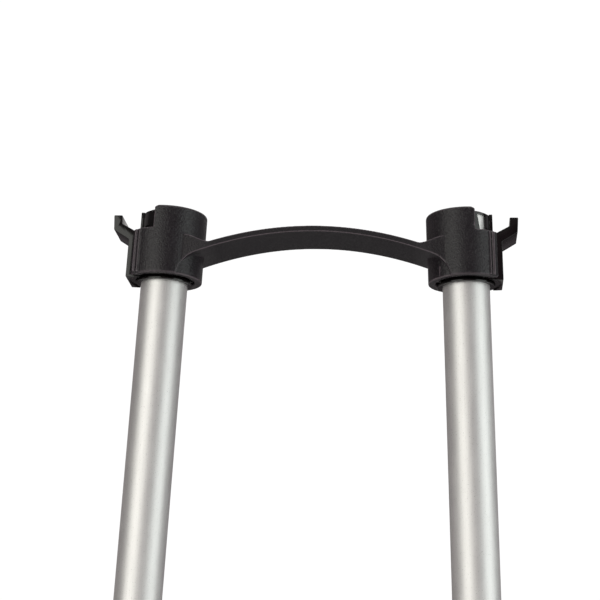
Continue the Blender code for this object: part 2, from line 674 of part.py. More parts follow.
def make_latch_spring(name, side, leg):
    """Compression coil along u, between the bush and the pocket in the latch."""
    curve = bpy.data.curves.new("coil", "CURVE")
    curve.dimensions = "3D"
    curve.fill_mode = "FULL"
    curve.bevel_depth = SPRING_WIRE_RADIUS
    curve.bevel_resolution = 1
    curve.use_fill_caps = True
    count = SPRING_TURNS * SPRING_STEPS + 1
    spline = curve.splines.new("POLY")
    spline.points.add(count - 1)
    for i, point in enumerate(spline.points):
        turn = 2 * math.pi * i / SPRING_STEPS
        u = SPRING_START + (SPRING_END - SPRING_START) * i / (count - 1)
        y = SPRING_COIL_RADIUS * math.cos(turn)
        w = SPRING_W + SPRING_COIL_RADIUS * math.sin(turn)
        point.co = (side * u, y, w, 1)
    add_part("latch_spring_" + name, curve_to_mesh(curve), STEEL, leg)


# Lower sockets

def make_socket(name, side, leg, knuckle):
    socket = add_part("lower_socket_" + name, rod(KNUCKLE_RADIUS, -KNUCKLE_HALF_WIDTH, KNUCKLE_HALF_WIDTH,
                                                  ALONG_X, MIDDLE_STEPS), MATTE_BLACK, knuckle)
    neck_half = KNUCKLE_HALF_WIDTH - OVERSHOOT / 2
    neck_low = (-neck_half, -NECK_HALF_DEPTH, NECK_BOTTOM)
    neck_high = (neck_half, NECK_HALF_DEPTH, SOCKET_BOTTOM + NECK_OVERLAP)
    join(socket, add_tool(box(neck_low, neck_high), knuckle))
    heel_low = (-HEEL_HALF_WIDTH, -HEEL_HALF_DEPTH, -HEEL_REACH)
    heel_high = (HEEL_HALF_WIDTH, HEEL_HALF_DEPTH, -HEEL_ROOT)
    join(socket, add_tool(box(heel_low, heel_high), knuckle))
    sleeve = disc_outline(SOCKET_RADIUS, SOCKET_BOTTOM - LEG_LENGTH, SOCKET_TOP - LEG_LENGTH,
                          SOCKET_ROUND, SOCKET_ROUND)
    join(socket, turned_tool(sleeve, False, leg))
    bore_bottom = TUBE_END_ABOVE_PIVOT - GAP - LEG_LENGTH
    bore_top = SOCKET_TOP + OVERSHOOT - LEG_LENGTH
    cut(socket, add_tool(rod(SOCKET_BORE_RADIUS, bore_bottom, bore_top, steps=ROUND_STEPS), leg))
    reach = KNUCKLE_HALF_WIDTH + OVERSHOOT
    cut(socket, add_tool(rod(KNUCKLE_BORE_RADIUS, -reach, reach, ALONG_X, MIDDLE_STEPS), knuckle))
    bolt_reach = SOCKET_RADIUS + OVERSHOOT
    center = (0, 0, SOCKET_BOLT_ABOVE_PIVOT - LEG_LENGTH)
    cut(socket, add_tool(rod(SOCKET_BOLT_HOLE_RADIUS, -bolt_reach, bolt_reach, ALONG_Y, center=center), leg))
    flat = SOCKET_RADIUS - SPOT_FACE_DEPTH
    for front in (-1, 1):
        spot = sorted((-front * flat, -front * bolt_reach))
        cut(socket, add_tool(rod(SPOT_FACE_RADIUS, spot[0], spot[1], ALONG_Y, MIDDLE_STEPS, center), leg))


def make_socket_bolt(name, leg):
    """Through bolt with a hexagon head in front and a hexagon nut behind."""
    flat = SOCKET_RADIUS - SPOT_FACE_DEPTH + GAP
    place = (0, 0, SOCKET_BOLT_ABOVE_PIVOT - LEG_LENGTH)
    shank = rod(SOCKET_BOLT_RADIUS, -flat - HEX_NUT - BOLT_END_BEYOND_NUT, flat + OVERSHOOT, ALONG_Y)
    bolt = add_part("socket_bolt_" + name, shank, STEEL, leg, place)
    join(bolt, add_tool(rod(HEX_CIRCUMRADIUS, flat, flat + HEX_HEAD, ALONG_Y, 6), leg, place))
    thread = circle(SOCKET_BOLT_RADIUS + THREAD_CLEARANCE, SMALL_STEPS)
    nut_mesh = extruded([circle(HEX_CIRCUMRADIUS, 6), thread], -flat - HEX_NUT, -flat, OUTLINE_XZ)
    add_part("socket_nut_" + name, nut_mesh, STEEL, leg, place)


# Fold hinge

def make_bracket(name, side):
    pivot = Vector((side * PIVOT_OFFSET, 0, PIVOT_HEIGHT))
    plate_bottom = RAIL_HEIGHT + GAP - PIVOT_HEIGHT
    plate_top = plate_bottom + BRACKET_PLATE
    plate = rounded_box((-BRACKET_HALF_WIDTH, -BRACKET_HALF_DEPTH, plate_bottom),
                        (BRACKET_HALF_WIDTH, BRACKET_HALF_DEPTH, plate_top), BRACKET_EDGE)
    bracket = add_part("hinge_bracket_" + name, plate, POWDER_COAT, None, pivot)
    outline = [(-EAR_RADIUS, plate_bottom + OVERSHOOT), (EAR_RADIUS, plate_bottom + OVERSHOOT)]
    outline += arc((0, 0), EAR_RADIUS, 0, 180, MIDDLE_STEPS // 2)
    for hand in (-1, 1):
        ends = sorted((hand * EAR_INNER, hand * (EAR_INNER + EAR_THICKNESS)))
        join(bracket, add_tool(extruded([outline], ends[0], ends[1], OUTLINE_YZ), None, pivot))
    reach = EAR_INNER + EAR_THICKNESS + OVERSHOOT
    cut(bracket, add_tool(rod(CLAMP_HOLE_RADIUS, -reach, reach, ALONG_X), None, pivot))
    stop_hole = rod(STOP_PIN_HOLE_RADIUS, -reach, reach, ALONG_X, center=stop_pin_center())
    cut(bracket, add_tool(stop_hole, None, pivot))
    for x in (-SCREW_SPREAD_X, SCREW_SPREAD_X):
        for y in (-SCREW_SPREAD_Y, SCREW_SPREAD_Y):
            hole = rod(SCREW_HOLE_RADIUS, plate_bottom - OVERSHOOT, plate_top + OVERSHOOT, center=(x, y, 0))
            cut(bracket, add_tool(hole, None, pivot))


def stop_pin_center():
    """The pin lies behind the heel and stops the frame when it stands upright."""
    return (0, HEEL_HALF_DEPTH + GAP + STOP_PIN_RADIUS, -STOP_PIN_DROP)


def make_stop_pin(name, side):
    half = EAR_INNER + EAR_THICKNESS - GAP
    pivot = (side * PIVOT_OFFSET, 0, PIVOT_HEIGHT)
    pin = rod(STOP_PIN_RADIUS, -half, half, ALONG_X, center=stop_pin_center())
    add_part("stop_pin_" + name, pin, STEEL, None, pivot)


def ring_along_x(inner, outer, start, end, steps=MIDDLE_STEPS):
    return extruded([circle(outer, steps), circle(inner, steps)], start, end, OUTLINE_YZ)


def make_clamp(name, side):
    """Clamp bolt, discs, washer, knob and its threaded insert, along X outward from the knuckle."""
    pivot = (side * PIVOT_OFFSET, 0, PIVOT_HEIGHT)
    ear_outer = EAR_INNER + EAR_THICKNESS
    washer_start = ear_outer + GAP
    knob_start = washer_start + WASHER_THICKNESS + GAP
    insert_end = knob_start + INSERT_LENGTH
    bolt_end = insert_end + OVERSHOOT / 2
    head_start = -ear_outer - GAP

    def run(start, end):
        return sorted((side * start, side * end))

    shank = run(head_start - OVERSHOOT, bolt_end)
    bolt_mesh = rod(CLAMP_BOLT_RADIUS, shank[0], shank[1], ALONG_X)
    bolt = add_part("clamp_bolt_" + name, bolt_mesh, STEEL, None, pivot)
    head = run(head_start - CLAMP_HEAD, head_start)
    head_mesh = rod(CLAMP_HEAD_RADIUS, head[0], head[1], ALONG_X, MIDDLE_STEPS)
    join(bolt, add_tool(head_mesh, None, pivot))

    half = KNUCKLE_HALF_WIDTH
    bush = ring_along_x(HINGE_BUSH_INNER_RADIUS, HINGE_BUSH_OUTER_RADIUS, -half, half)
    add_part("hinge_bush_" + name, bush, NYLON, KNUCKLES[name])

    disc_start = KNUCKLE_HALF_WIDTH + GAP
    for place, hand in (("inner", -1), ("outer", 1)):
        ends = run(hand * disc_start, hand * (disc_start + DISC_THICKNESS))
        disc = ring_along_x(CLAMP_BOLT_RADIUS + GAP, DISC_RADIUS, ends[0], ends[1])
        add_part("friction_disc_" + name + "_" + place, disc, NYLON, None, pivot)

    washer = run(washer_start, washer_start + WASHER_THICKNESS)
    washer_mesh = ring_along_x(CLAMP_BOLT_RADIUS + GAP, WASHER_RADIUS, washer[0], washer[1])
    add_part("clamp_washer_" + name, washer_mesh, STEEL, None, pivot)

    insert = run(knob_start, insert_end)
    insert_mesh = ring_along_x(CLAMP_BOLT_RADIUS + THREAD_CLEARANCE, INSERT_RADIUS, insert[0], insert[1])
    add_part("knob_insert_" + name, insert_mesh, BRASS, None, pivot)

    knob = add_part("clamp_knob_" + name, knob_mesh(run(knob_start, knob_start + KNOB_THICKNESS)),
                    MATTE_BLACK, None, pivot)
    hub = run(knob_start + KNOB_THICKNESS - OVERSHOOT, knob_start + KNOB_THICKNESS + KNOB_HUB_HEIGHT)
    join(knob, add_tool(rod(KNOB_HUB_RADIUS, hub[0], hub[1], ALONG_X, MIDDLE_STEPS), None, pivot))
    seat = run(knob_start - OVERSHOOT, insert_end + KNOB_SEAT_DEPTH)
    cut(knob, add_tool(rod(INSERT_RADIUS + GAP, seat[0], seat[1], ALONG_X, MIDDLE_STEPS), None, pivot))


def knob_mesh(ends):
    """Star grip with round lobes."""
    steps = KNOB_LOBES * LOBE_STEPS
    turns = [2 * math.pi * i / steps for i in range(steps)]
    radii = [KNOB_MEAN_RADIUS + KNOB_LOBE * math.cos(KNOB_LOBES * t) for t in turns]
    outline = [(r * math.cos(t), r * math.sin(t)) for r, t in zip(radii, turns)]
    return extruded([outline], ends[0], ends[1], OUTLINE_YZ)


# End rail

def make_rail():
    half = (RAIL_LENGTH / 2, RAIL_DEPTH / 2)
    profile = box((-half[0], -half[1], 0), (half[0], half[1], RAIL_HEIGHT))
    rail = add_part("end_rail", profile, SATIN_ALUMINIUM)
    inner_low = (-half[0] - OVERSHOOT, -half[1] + RAIL_WALL, RAIL_WALL)
    inner_high = (half[0] + OVERSHOOT, half[1] - RAIL_WALL, RAIL_HEIGHT - RAIL_WALL)
    cut(rail, add_tool(box(inner_low, inner_high)))
    for place in screw_places():
        cut(rail, add_tool(rod(SCREW_HOLE_RADIUS, RAIL_HEIGHT / 2, RAIL_HEIGHT + OVERSHOOT, center=place)))


def screw_places():
    """Four screws for each bracket, on the rail's top wall."""
    return [(side * PIVOT_OFFSET + x, y, 0) for side in SIDES.values()
            for x in (-SCREW_SPREAD_X, SCREW_SPREAD_X) for y in (-SCREW_SPREAD_Y, SCREW_SPREAD_Y)]


def make_bracket_screws():
    seat = RAIL_HEIGHT + GAP + BRACKET_PLATE + GAP
    rim = SCREW_HEAD_RADIUS - SCREW_EDGE
    points = [(0, SCREW_HEAD), (rim, SCREW_HEAD), (SCREW_HEAD_RADIUS, SCREW_HEAD - SCREW_EDGE),
              (SCREW_HEAD_RADIUS, 0), (SCREW_RADIUS, 0), (SCREW_RADIUS, -SCREW_LENGTH), (0, -SCREW_LENGTH)]
    for number, (x, y, _) in enumerate(screw_places(), 1):
        turned_part(f"bracket_screw_{number}", points, False, STEEL, None, (x, y, seat), SMALL_STEPS)


def make_rail_cap(name, side):
    half = (RAIL_DEPTH / 2, RAIL_HEIGHT / 2)
    start = RAIL_LENGTH / 2 + GAP
    flange = side_box(side, (start, -half[0], 0), (start + CAP_FLANGE, half[0], RAIL_HEIGHT))
    cap = add_part("rail_cap_" + name, flange, MATTE_BLACK)
    inset = RAIL_WALL + GAP
    spigot = side_box(side, (start - CAP_SPIGOT, -half[0] + inset, inset),
                      (start + OVERSHOOT, half[0] - inset, RAIL_HEIGHT - inset))
    join(cap, add_tool(spigot))
    hollow = inset + CAP_WALL
    pocket = side_box(side, (start - CAP_SPIGOT - OVERSHOOT, -half[0] + hollow, hollow),
                      (start, half[0] - hollow, RAIL_HEIGHT - hollow))
    cut(cap, add_tool(pocket))


def build():
    make_yoke()
    make_rail()
    make_bracket_screws()
    for name, side in SIDES.items():
        leg = LEGS[name]
        make_tube(name, side, leg)
        make_plug(name, leg)
        make_bush(name, side, leg)
        make_latch(name, side, leg)
        make_latch_pins(name, side, leg)
        make_latch_spring(name, side, leg)
        make_socket(name, side, leg, KNUCKLES[name])
        make_socket_bolt(name, leg)
        make_bracket(name, side)
        make_stop_pin(name, side)
        make_clamp(name, side)
        make_rail_cap(name, side)


build()
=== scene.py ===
"""Looks of the fold-down end frame of a folding stretcher.

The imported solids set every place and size. Each is replaced here by a finer piece with a procedural material.
Each leg has its own frame, on the tube's axis in the collar plane: u points outward, y is the same as in the
world, and w runs up along the tube.
"""
import math

import bmesh
import bpy
from mathutils import Matrix, Vector


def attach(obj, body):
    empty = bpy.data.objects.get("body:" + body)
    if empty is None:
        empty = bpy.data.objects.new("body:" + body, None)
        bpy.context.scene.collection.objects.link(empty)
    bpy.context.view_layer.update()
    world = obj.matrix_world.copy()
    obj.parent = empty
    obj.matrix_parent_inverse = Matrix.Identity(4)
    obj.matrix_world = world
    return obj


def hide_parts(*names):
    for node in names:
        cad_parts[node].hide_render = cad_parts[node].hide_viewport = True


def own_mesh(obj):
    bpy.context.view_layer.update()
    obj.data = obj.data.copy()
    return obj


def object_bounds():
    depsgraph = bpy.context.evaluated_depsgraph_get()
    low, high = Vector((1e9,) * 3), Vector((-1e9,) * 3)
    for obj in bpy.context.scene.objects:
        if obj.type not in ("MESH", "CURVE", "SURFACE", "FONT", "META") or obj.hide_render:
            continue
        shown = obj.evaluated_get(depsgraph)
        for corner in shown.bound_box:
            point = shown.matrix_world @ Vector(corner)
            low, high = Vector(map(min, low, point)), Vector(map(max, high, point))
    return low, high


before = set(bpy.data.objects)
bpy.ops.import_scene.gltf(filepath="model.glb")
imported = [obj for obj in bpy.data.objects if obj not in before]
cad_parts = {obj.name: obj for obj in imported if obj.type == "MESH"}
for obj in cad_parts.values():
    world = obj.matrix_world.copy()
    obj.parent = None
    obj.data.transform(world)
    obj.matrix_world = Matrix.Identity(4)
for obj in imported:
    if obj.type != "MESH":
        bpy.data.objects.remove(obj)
CAD_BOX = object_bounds()

MM = 0.001
GAP = 0.3 * MM
THREAD_CLEARANCE = 0.15 * MM
OVERSHOOT = 1.0 * MM
FINE = 160
MEDIUM = 64

# Driving dimensions, as in the solids
TUBE_RADIUS = 16.0 * MM
TUBE_WALL = 2.0 * MM
TUBE_SPACING = 206.0 * MM
SPLAY = math.radians(2.14)
PIVOT_HEIGHT = 62.0 * MM
COLLAR_HEIGHT_ABOVE_PIVOT = 540.0 * MM
LEG_LENGTH = COLLAR_HEIGHT_ABOVE_PIVOT / math.cos(SPLAY)
PIVOT_OFFSET = TUBE_SPACING / 2 + COLLAR_HEIGHT_ABOVE_PIVOT * math.tan(SPLAY)
COLLAR_PLANE = PIVOT_HEIGHT + COLLAR_HEIGHT_ABOVE_PIVOT

SIDES = {"left": -1, "right": 1}
IDENTITY = Matrix.Identity(4)
ALONG_Y = Matrix.Rotation(math.pi / 2, 4, "X")
ALONG_X = Matrix.Rotation(math.pi / 2, 4, "Y")
OUTLINE_XZ = Matrix.Rotation(math.pi / 2, 4, "X")
OUTLINE_YZ = Matrix(((0, 0, 1, 0), (1, 0, 0, 0), (0, 1, 0, 0), (0, 0, 0, 1)))


def leg_matrix(side):
    place = Matrix.Translation((side * TUBE_SPACING / 2, 0, COLLAR_PLANE))
    return place @ Matrix.Rotation(-side * SPLAY, 4, "Y")


def pivot_matrix(side):
    return Matrix.Translation((side * PIVOT_OFFSET, 0, PIVOT_HEIGHT))


def latch_pin_axis(side, leg):
    return leg @ Matrix.Translation((side * PIN_AXIS_U, 0, PIN_AXIS_W)) @ ALONG_Y


def socket_bolt_axis(leg):
    return leg @ Matrix.Translation((0, 0, SOCKET_BOLT_ABOVE_PIVOT - LEG_LENGTH)) @ ALONG_Y


# Mesh helpers: each returns a mesh in metres

def as_mesh(bm, matrix=IDENTITY):
    bmesh.ops.transform(bm, matrix=matrix, verts=bm.verts)
    bmesh.ops.recalc_face_normals(bm, faces=bm.faces)
    mesh = bpy.data.meshes.new("solid")
    bm.to_mesh(mesh)
    bm.free()
    return mesh


def smooth(mesh, angle=32):
    mesh.shade_smooth()
    mesh.set_sharp_from_angle(angle=math.radians(angle))
    return mesh


def turned(points, steps=MEDIUM, matrix=IDENTITY, closed=False):
    """A profile of radius against height, turned about Z."""
    bm = bmesh.new()
    verts = [bm.verts.new((r, 0, z)) for r, z in points]
    pairs = list(zip(verts, verts[1:]))
    if closed:
        pairs.append((verts[-1], verts[0]))
    edges = [bm.edges.new(pair) for pair in pairs]
    bmesh.ops.spin(bm, geom=verts + edges, axis=(0, 0, 1), cent=(0, 0, 0), angle=2 * math.pi,
                   steps=steps, use_merge=True)
    bmesh.ops.remove_doubles(bm, verts=bm.verts, dist=0.001 * MM)
    return as_mesh(bm, matrix)


def prism(outline, start, end, matrix=IDENTITY):
    bm = bmesh.new()
    face = bm.faces.new([bm.verts.new((a, b, start)) for a, b in outline])
    grown = bmesh.ops.extrude_face_region(bm, geom=[face])
    lifted = [item for item in grown["geom"] if isinstance(item, bmesh.types.BMVert)]
    bmesh.ops.translate(bm, verts=lifted, vec=(0, 0, end - start))
    return as_mesh(bm, matrix)


def skinned(rings, matrix):
    """A closed skin over rings of points, capped at both ends."""
    bm = bmesh.new()
    rings = [[bm.verts.new(point) for point in ring] for ring in rings]
    count = len(rings[0])
    for first, second in zip(rings, rings[1:]):
        for k in range(count):
            bm.faces.new((first[k], first[(k + 1) % count], second[(k + 1) % count], second[k]))
    bm.faces.new(rings[0])
    bm.faces.new(rings[-1])
    return as_mesh(bm, matrix)


def box(low, high, matrix=IDENTITY):
    outline = [(low[0], low[1]), (high[0], low[1]), (high[0], high[1]), (low[0], high[1])]
    return prism(outline, low[2], high[2], matrix)


def span(hand, near, far):
    """Both ends in rising order; hand is -1 where they are mirrored."""
    return sorted((hand * near, hand * far))


def side_box(side, low, high, matrix=IDENTITY):
    """A box given with u outward."""
    first, last = span(side, low[0], high[0])
    return box((first, *low[1:]), (last, *high[1:]), matrix)


def rod(radius, start, end, matrix=IDENTITY, steps=MEDIUM, edge=0.0):
    """A round bar along Z, with its end edges chamfered by edge."""
    if edge:
        points = [(0, start), (radius - edge, start), (radius, start + edge), (radius, end - edge),
                  (radius - edge, end), (0, end)]
    else:
        points = [(0, start), (radius, start), (radius, end), (0, end)]
    return turned(points, steps, matrix)


def arc(center, radius, start_deg, end_deg, steps):
    span = math.radians(end_deg - start_deg)
    angles = [math.radians(start_deg) + span * i / steps for i in range(steps + 1)]
    return [(center[0] + radius * math.cos(a), center[1] + radius * math.sin(a)) for a in angles]


def circle(radius, steps):
    return arc((0, 0), radius, 0, 360, steps)[:-1]


def filleted(points, radii, steps=6):
    """A closed outline with each corner rounded by its radius."""
    result = []
    for i, (corner, radius) in enumerate(zip(points, radii)):
        here = Vector(corner)
        before = (Vector(points[i - 1]) - here).normalized()
        after = (Vector(points[(i + 1) % len(points)]) - here).normalized()
        half = before.angle(after) / 2
        if radius <= 0 or half > math.radians(89):
            result.append(tuple(here))
            continue
        reach = radius / math.tan(half)
        center = here + (before + after).normalized() * (radius / math.sin(half))
        start = here + before * reach - center
        turn = start.angle_signed(here + after * reach - center)
        for k in range(steps + 1):
            angle = -turn * k / steps
            spot = Matrix.Rotation(angle, 2) @ start + center
            result.append(tuple(spot))
    return result


def with_modifier(mesh, kind, **values):
    """The mesh after one modifier."""
    holder = bpy.data.objects.new("holder", mesh)
    bpy.context.scene.collection.objects.link(holder)
    modifier = holder.modifiers.new(kind.lower(), kind)
    for key, value in values.items():
        setattr(modifier, key, value)
    depsgraph = bpy.context.evaluated_depsgraph_get()
    result = bpy.data.meshes.new_from_object(holder.evaluated_get(depsgraph))
    bpy.data.objects.remove(holder, do_unlink=True)
    return result


def combined(mesh, tool_mesh, operation, solver="EXACT"):
    tool = bpy.data.objects.new("tool", tool_mesh)
    bpy.context.scene.collection.objects.link(tool)
    result = with_modifier(mesh, "BOOLEAN", operation=operation, solver=solver, object=tool)
    bpy.data.objects.remove(tool, do_unlink=True)
    return result


def cut(mesh, *tools, solver="EXACT"):
    for tool in tools:
        mesh = combined(mesh, tool, "DIFFERENCE", solver)
    return mesh


def join(mesh, *others, solver="EXACT"):
    for other in others:
        mesh = combined(mesh, other, "UNION", solver)
    return mesh


def bevelled(mesh, width, segments=3, angle=40):
    return with_modifier(mesh, "BEVEL", width=width, segments=segments, limit_method="ANGLE",
                         angle_limit=math.radians(angle), use_clamp_overlap=True)


def softened(mesh, voxel, passes, keep):
    """Remeshed and smoothed so that every edge and inner corner becomes a small moulded radius."""
    mesh = with_modifier(mesh, "REMESH", mode="VOXEL", voxel_size=voxel)
    mesh = with_modifier(mesh, "SMOOTH", factor=0.5, iterations=passes)
    if keep < 1:
        mesh = with_modifier(mesh, "DECIMATE", decimate_type="COLLAPSE", ratio=keep)
    mesh.shade_smooth()
    return mesh


# Materials

MATTE_BLACK = "matte_black_moulding"
PLAIN_BLACK = "plain_black_moulding"
GLOSS_BLACK = "gloss_black_moulding"
TUBE_ALUMINIUM = "satin_aluminium"
RAIL_ALUMINIUM = "rail_aluminium"
STEEL = "zinc_steel"
POWDER_COAT = "powder_coat"
BRASS = "brass"
NYLON = "natural_nylon"
DULL_ARCH_END = 66 * MM
COLLAR_FINISH_START = 80 * MM


def new_material(name, color, roughness, metallic):
    material = bpy.data.materials.new(name)
    material.use_nodes = True
    shader = material.node_tree.nodes["Principled BSDF"]
    shader.inputs["Base Color"].default_value = (*color, 1.0)
    shader.inputs["Roughness"].default_value = roughness
    shader.inputs["Metallic"].default_value = metallic
    return material, material.node_tree, shader


def add_node(tree, kind, **values):
    """A shader node whose inputs are set or linked by name, with _ for a space."""
    node = tree.nodes.new("ShaderNode" + kind)
    for name, value in values.items():
        socket = node.inputs[name.replace("_", " ")]
        if isinstance(value, bpy.types.NodeSocket):
            tree.links.new(value, socket)
        else:
            socket.default_value = value
    return node


def coordinates(tree, stretch=(1, 1, 1), turn=(0, 0, 0)):
    place = add_node(tree, "TexCoord").outputs["Object"]
    return add_node(tree, "Mapping", Vector=place, Scale=stretch, Rotation=turn).outputs["Vector"]


def noise(tree, vector, scale, detail=3.0):
    return add_node(tree, "TexNoise", Vector=vector, Scale=scale, Detail=detail).outputs["Fac"]


def ramp(tree, value, stops):
    """Colour ramp; each stop is a position and a colour or a grey."""
    node = add_node(tree, "ValToRGB", Fac=value)
    elements = node.color_ramp.elements
    while len(elements) < len(stops):
        elements.new(0.5)
    for element, (position, color) in zip(elements, stops):
        element.position = position
        rgb = color if isinstance(color, tuple) else (color, color, color)
        element.color = (*rgb, 1.0)
    return node.outputs["Color"]


def mixed(tree, first, second, factor, mode="MIX"):
    node = add_node(tree, "Mix")
    node.data_type = "RGBA"
    node.blend_type = mode
    for value, name in ((factor, "Factor"), (first, "A"), (second, "B")):
        sockets = [s for s in node.inputs if s.name == name and s.enabled]
        if isinstance(value, bpy.types.NodeSocket):
            tree.links.new(value, sockets[0])
        elif isinstance(value, tuple):
            sockets[0].default_value = (*value, 1.0)
        else:
            sockets[0].default_value = value
    return [s for s in node.outputs if s.enabled][0]


def scaled(tree, value, low, high, start=0.25, end=0.75):
    """Low where the value is start, and high where it is end."""
    return add_node(tree, "MapRange", Value=value, From_Min=start, From_Max=end,
                    To_Min=low, To_Max=high).outputs["Result"]


def bump(tree, shader, height, strength, distance, below=None):
    node = add_node(tree, "Bump", Height=height, Strength=strength, Distance=distance)
    if below is not None:
        tree.links.new(below, node.inputs["Normal"])
    tree.links.new(node.outputs["Normal"], shader.inputs["Normal"])
    return node.outputs["Normal"]


def edges_of(tree, low, high):
    """Raised edges as a mask, for wear on the steel and the powder coat, and for a painted highlight line on
    the matte moulding.
    """
    pointiness = add_node(tree, "NewGeometry").outputs["Pointiness"]
    return ramp(tree, pointiness, [(low, 0.0), (high, 1.0)])


def paint(tree, shader, color, roughness):
    tree.links.new(color, shader.inputs["Base Color"])
    tree.links.new(roughness, shader.inputs["Roughness"])


def matte_moulding(name, painted_edge_highlight):
    """Textured black moulding; its thin arch is duller than its collars. With the edge flag set, a pale pinkish
    painted highlight runs along its raised edges, standing in for light caught on the bevels.
    """
    material, tree, shader = new_material(name, (0.007, 0.006, 0.007), 0.4, 0.0)
    shader.inputs["Specular IOR Level"].default_value = 0.48
    place = coordinates(tree)
    grain = noise(tree, place, 1300, 2.0)
    cloud = noise(tree, place, 90, 4.0)
    speckle = ramp(tree, grain, [(0.32, (0.004, 0.002, 0.004)), (0.50, (0.008, 0.005, 0.008)),
                                 (0.64, (0.014, 0.012, 0.014)), (0.74, (0.036, 0.032, 0.035))])
    tone = ramp(tree, cloud, [(0.3, (0.80, 0.76, 0.79)), (0.7, (1.2, 1.15, 1.18))])
    color = mixed(tree, speckle, tone, 1.0, "MULTIPLY")
    if painted_edge_highlight:
        # Painted highlight: a pale pinkish colour on raised edges, standing in for light caught on the bevels
        color = mixed(tree, color, (0.105, 0.082, 0.095), edges_of(tree, 0.506, 0.528))
    split = add_node(tree, "SeparateXYZ", Vector=place)
    across = add_node(tree, "Math", Value=split.outputs["X"])
    across.operation = "ABSOLUTE"
    dullness = scaled(tree, across.outputs["Value"], 0.42, 0.0, DULL_ARCH_END, COLLAR_FINISH_START)
    total = add_node(tree, "Math", Value=dullness)
    tree.links.new(scaled(tree, cloud, 0.27, 0.37), total.inputs[1])
    paint(tree, shader, color, total.outputs["Value"])
    fine = bump(tree, shader, grain, 0.9, 0.25 * MM)
    bump(tree, shader, noise(tree, place, 850, 2.0), 0.9, 0.42 * MM, fine)
    return material


def gloss_moulding():
    material, tree, shader = new_material(GLOSS_BLACK, (0.003, 0.002, 0.002), 0.14, 0.0)
    place = coordinates(tree)
    cloud = noise(tree, place, 120, 4.0)
    marks = noise(tree, coordinates(tree, (1, 1, 0.12), (0.3, 0.2, 0)), 2200, 3.0)
    color = ramp(tree, cloud, [(0.3, (0.002, 0.0015, 0.0015)), (0.7, (0.004, 0.003, 0.003))])
    paint(tree, shader, color, scaled(tree, cloud, 0.09, 0.18))
    bump(tree, shader, marks, 0.12, 0.02 * MM)
    return material


def anodised(name, color, grain_direction):
    """Satin aluminium with drawn lines along grain_direction, faint clouds and tiny specks."""
    material, tree, shader = new_material(name, color, 0.3, 1.0)
    lines_stretch = tuple(0.02 if i == grain_direction else 1.0 for i in range(3))
    lines = noise(tree, coordinates(tree, lines_stretch), 1400, 3.0)
    place = coordinates(tree)
    cloud = noise(tree, place, 45, 5.0)
    specks = noise(tree, place, 1900, 1.0)
    base = ramp(tree, cloud, [(0.3, tuple(0.96 * c for c in color)), (0.7, color)])
    dots = ramp(tree, specks, [(0.24, (0.62, 0.61, 0.60)), (0.34, (1.0, 1.0, 1.0))])
    streaks = ramp(tree, lines, [(0.3, (0.95, 0.95, 0.95)), (0.7, (1.0, 1.0, 1.0))])
    toned = mixed(tree, mixed(tree, base, dots, 1.0, "MULTIPLY"), streaks, 1.0, "MULTIPLY")
    paint(tree, shader, toned, scaled(tree, cloud, 0.50, 0.56))
    fine = bump(tree, shader, lines, 0.08, 0.02 * MM)
    bump(tree, shader, specks, 0.10, 0.02 * MM, fine)
    return material


def plated_steel():
    material, tree, shader = new_material(STEEL, (0.60, 0.60, 0.58), 0.28, 1.0)
    place = coordinates(tree)
    cloud = noise(tree, place, 160, 4.0)
    color = ramp(tree, cloud, [(0.3, (0.50, 0.50, 0.49)), (0.55, (0.62, 0.62, 0.59)),
                               (0.75, (0.68, 0.66, 0.58))])
    worn = mixed(tree, color, (0.80, 0.80, 0.78), edges_of(tree, 0.54, 0.66))
    paint(tree, shader, worn, scaled(tree, cloud, 0.22, 0.36))
    bump(tree, shader, noise(tree, place, 1600, 2.0), 0.1, 0.02 * MM)
    return material


def powder_coat():
    material, tree, shader = new_material(POWDER_COAT, (0.04, 0.041, 0.043), 0.4, 0.0)
    place = coordinates(tree)
    peel = noise(tree, place, 700, 2.0)
    cloud = noise(tree, place, 60, 4.0)
    color = ramp(tree, cloud, [(0.3, (0.032, 0.033, 0.035)), (0.7, (0.048, 0.049, 0.052))])
    worn = mixed(tree, color, (0.20, 0.20, 0.19), edges_of(tree, 0.56, 0.70))
    paint(tree, shader, worn, scaled(tree, peel, 0.30, 0.46))
    bump(tree, shader, peel, 0.4, 0.1 * MM)
    return material


def machined_brass():
    material, tree, shader = new_material(BRASS, (0.70, 0.52, 0.24), 0.28, 1.0)
    rings = noise(tree, coordinates(tree, (1, 0.05, 0.05)), 2400, 2.0)
    color = ramp(tree, rings, [(0.3, (0.60, 0.43, 0.18)), (0.7, (0.78, 0.59, 0.29))])
    paint(tree, shader, color, scaled(tree, rings, 0.22, 0.36))
    bump(tree, shader, rings, 0.2, 0.02 * MM)
    return material


def natural_nylon():
    material, tree, shader = new_material(NYLON, (0.72, 0.70, 0.64), 0.5, 0.0)
    shader.inputs["Subsurface Weight"].default_value = 0.15
    shader.inputs["Subsurface Radius"].default_value = (0.002, 0.0018, 0.0015)
    place = coordinates(tree)
    cloud = noise(tree, place, 200, 4.0)
    color = ramp(tree, cloud, [(0.3, (0.66, 0.64, 0.57)), (0.7, (0.76, 0.745, 0.69))])
    paint(tree, shader, color, scaled(tree, cloud, 0.42, 0.56))
    bump(tree, shader, noise(tree, place, 1200, 2.0), 0.2, 0.04 * MM)
    return material


MATERIALS = {
    MATTE_BLACK: matte_moulding(MATTE_BLACK, True),
    PLAIN_BLACK: matte_moulding(PLAIN_BLACK, False),
    GLOSS_BLACK: gloss_moulding(),
    TUBE_ALUMINIUM: anodised(TUBE_ALUMINIUM, (0.90, 0.885, 0.875), 2),
    RAIL_ALUMINIUM: anodised(RAIL_ALUMINIUM, (0.84, 0.83, 0.82), 0),
    STEEL: plated_steel(),
    POWDER_COAT: powder_coat(),
    BRASS: machined_brass(),
    NYLON: natural_nylon(),
}


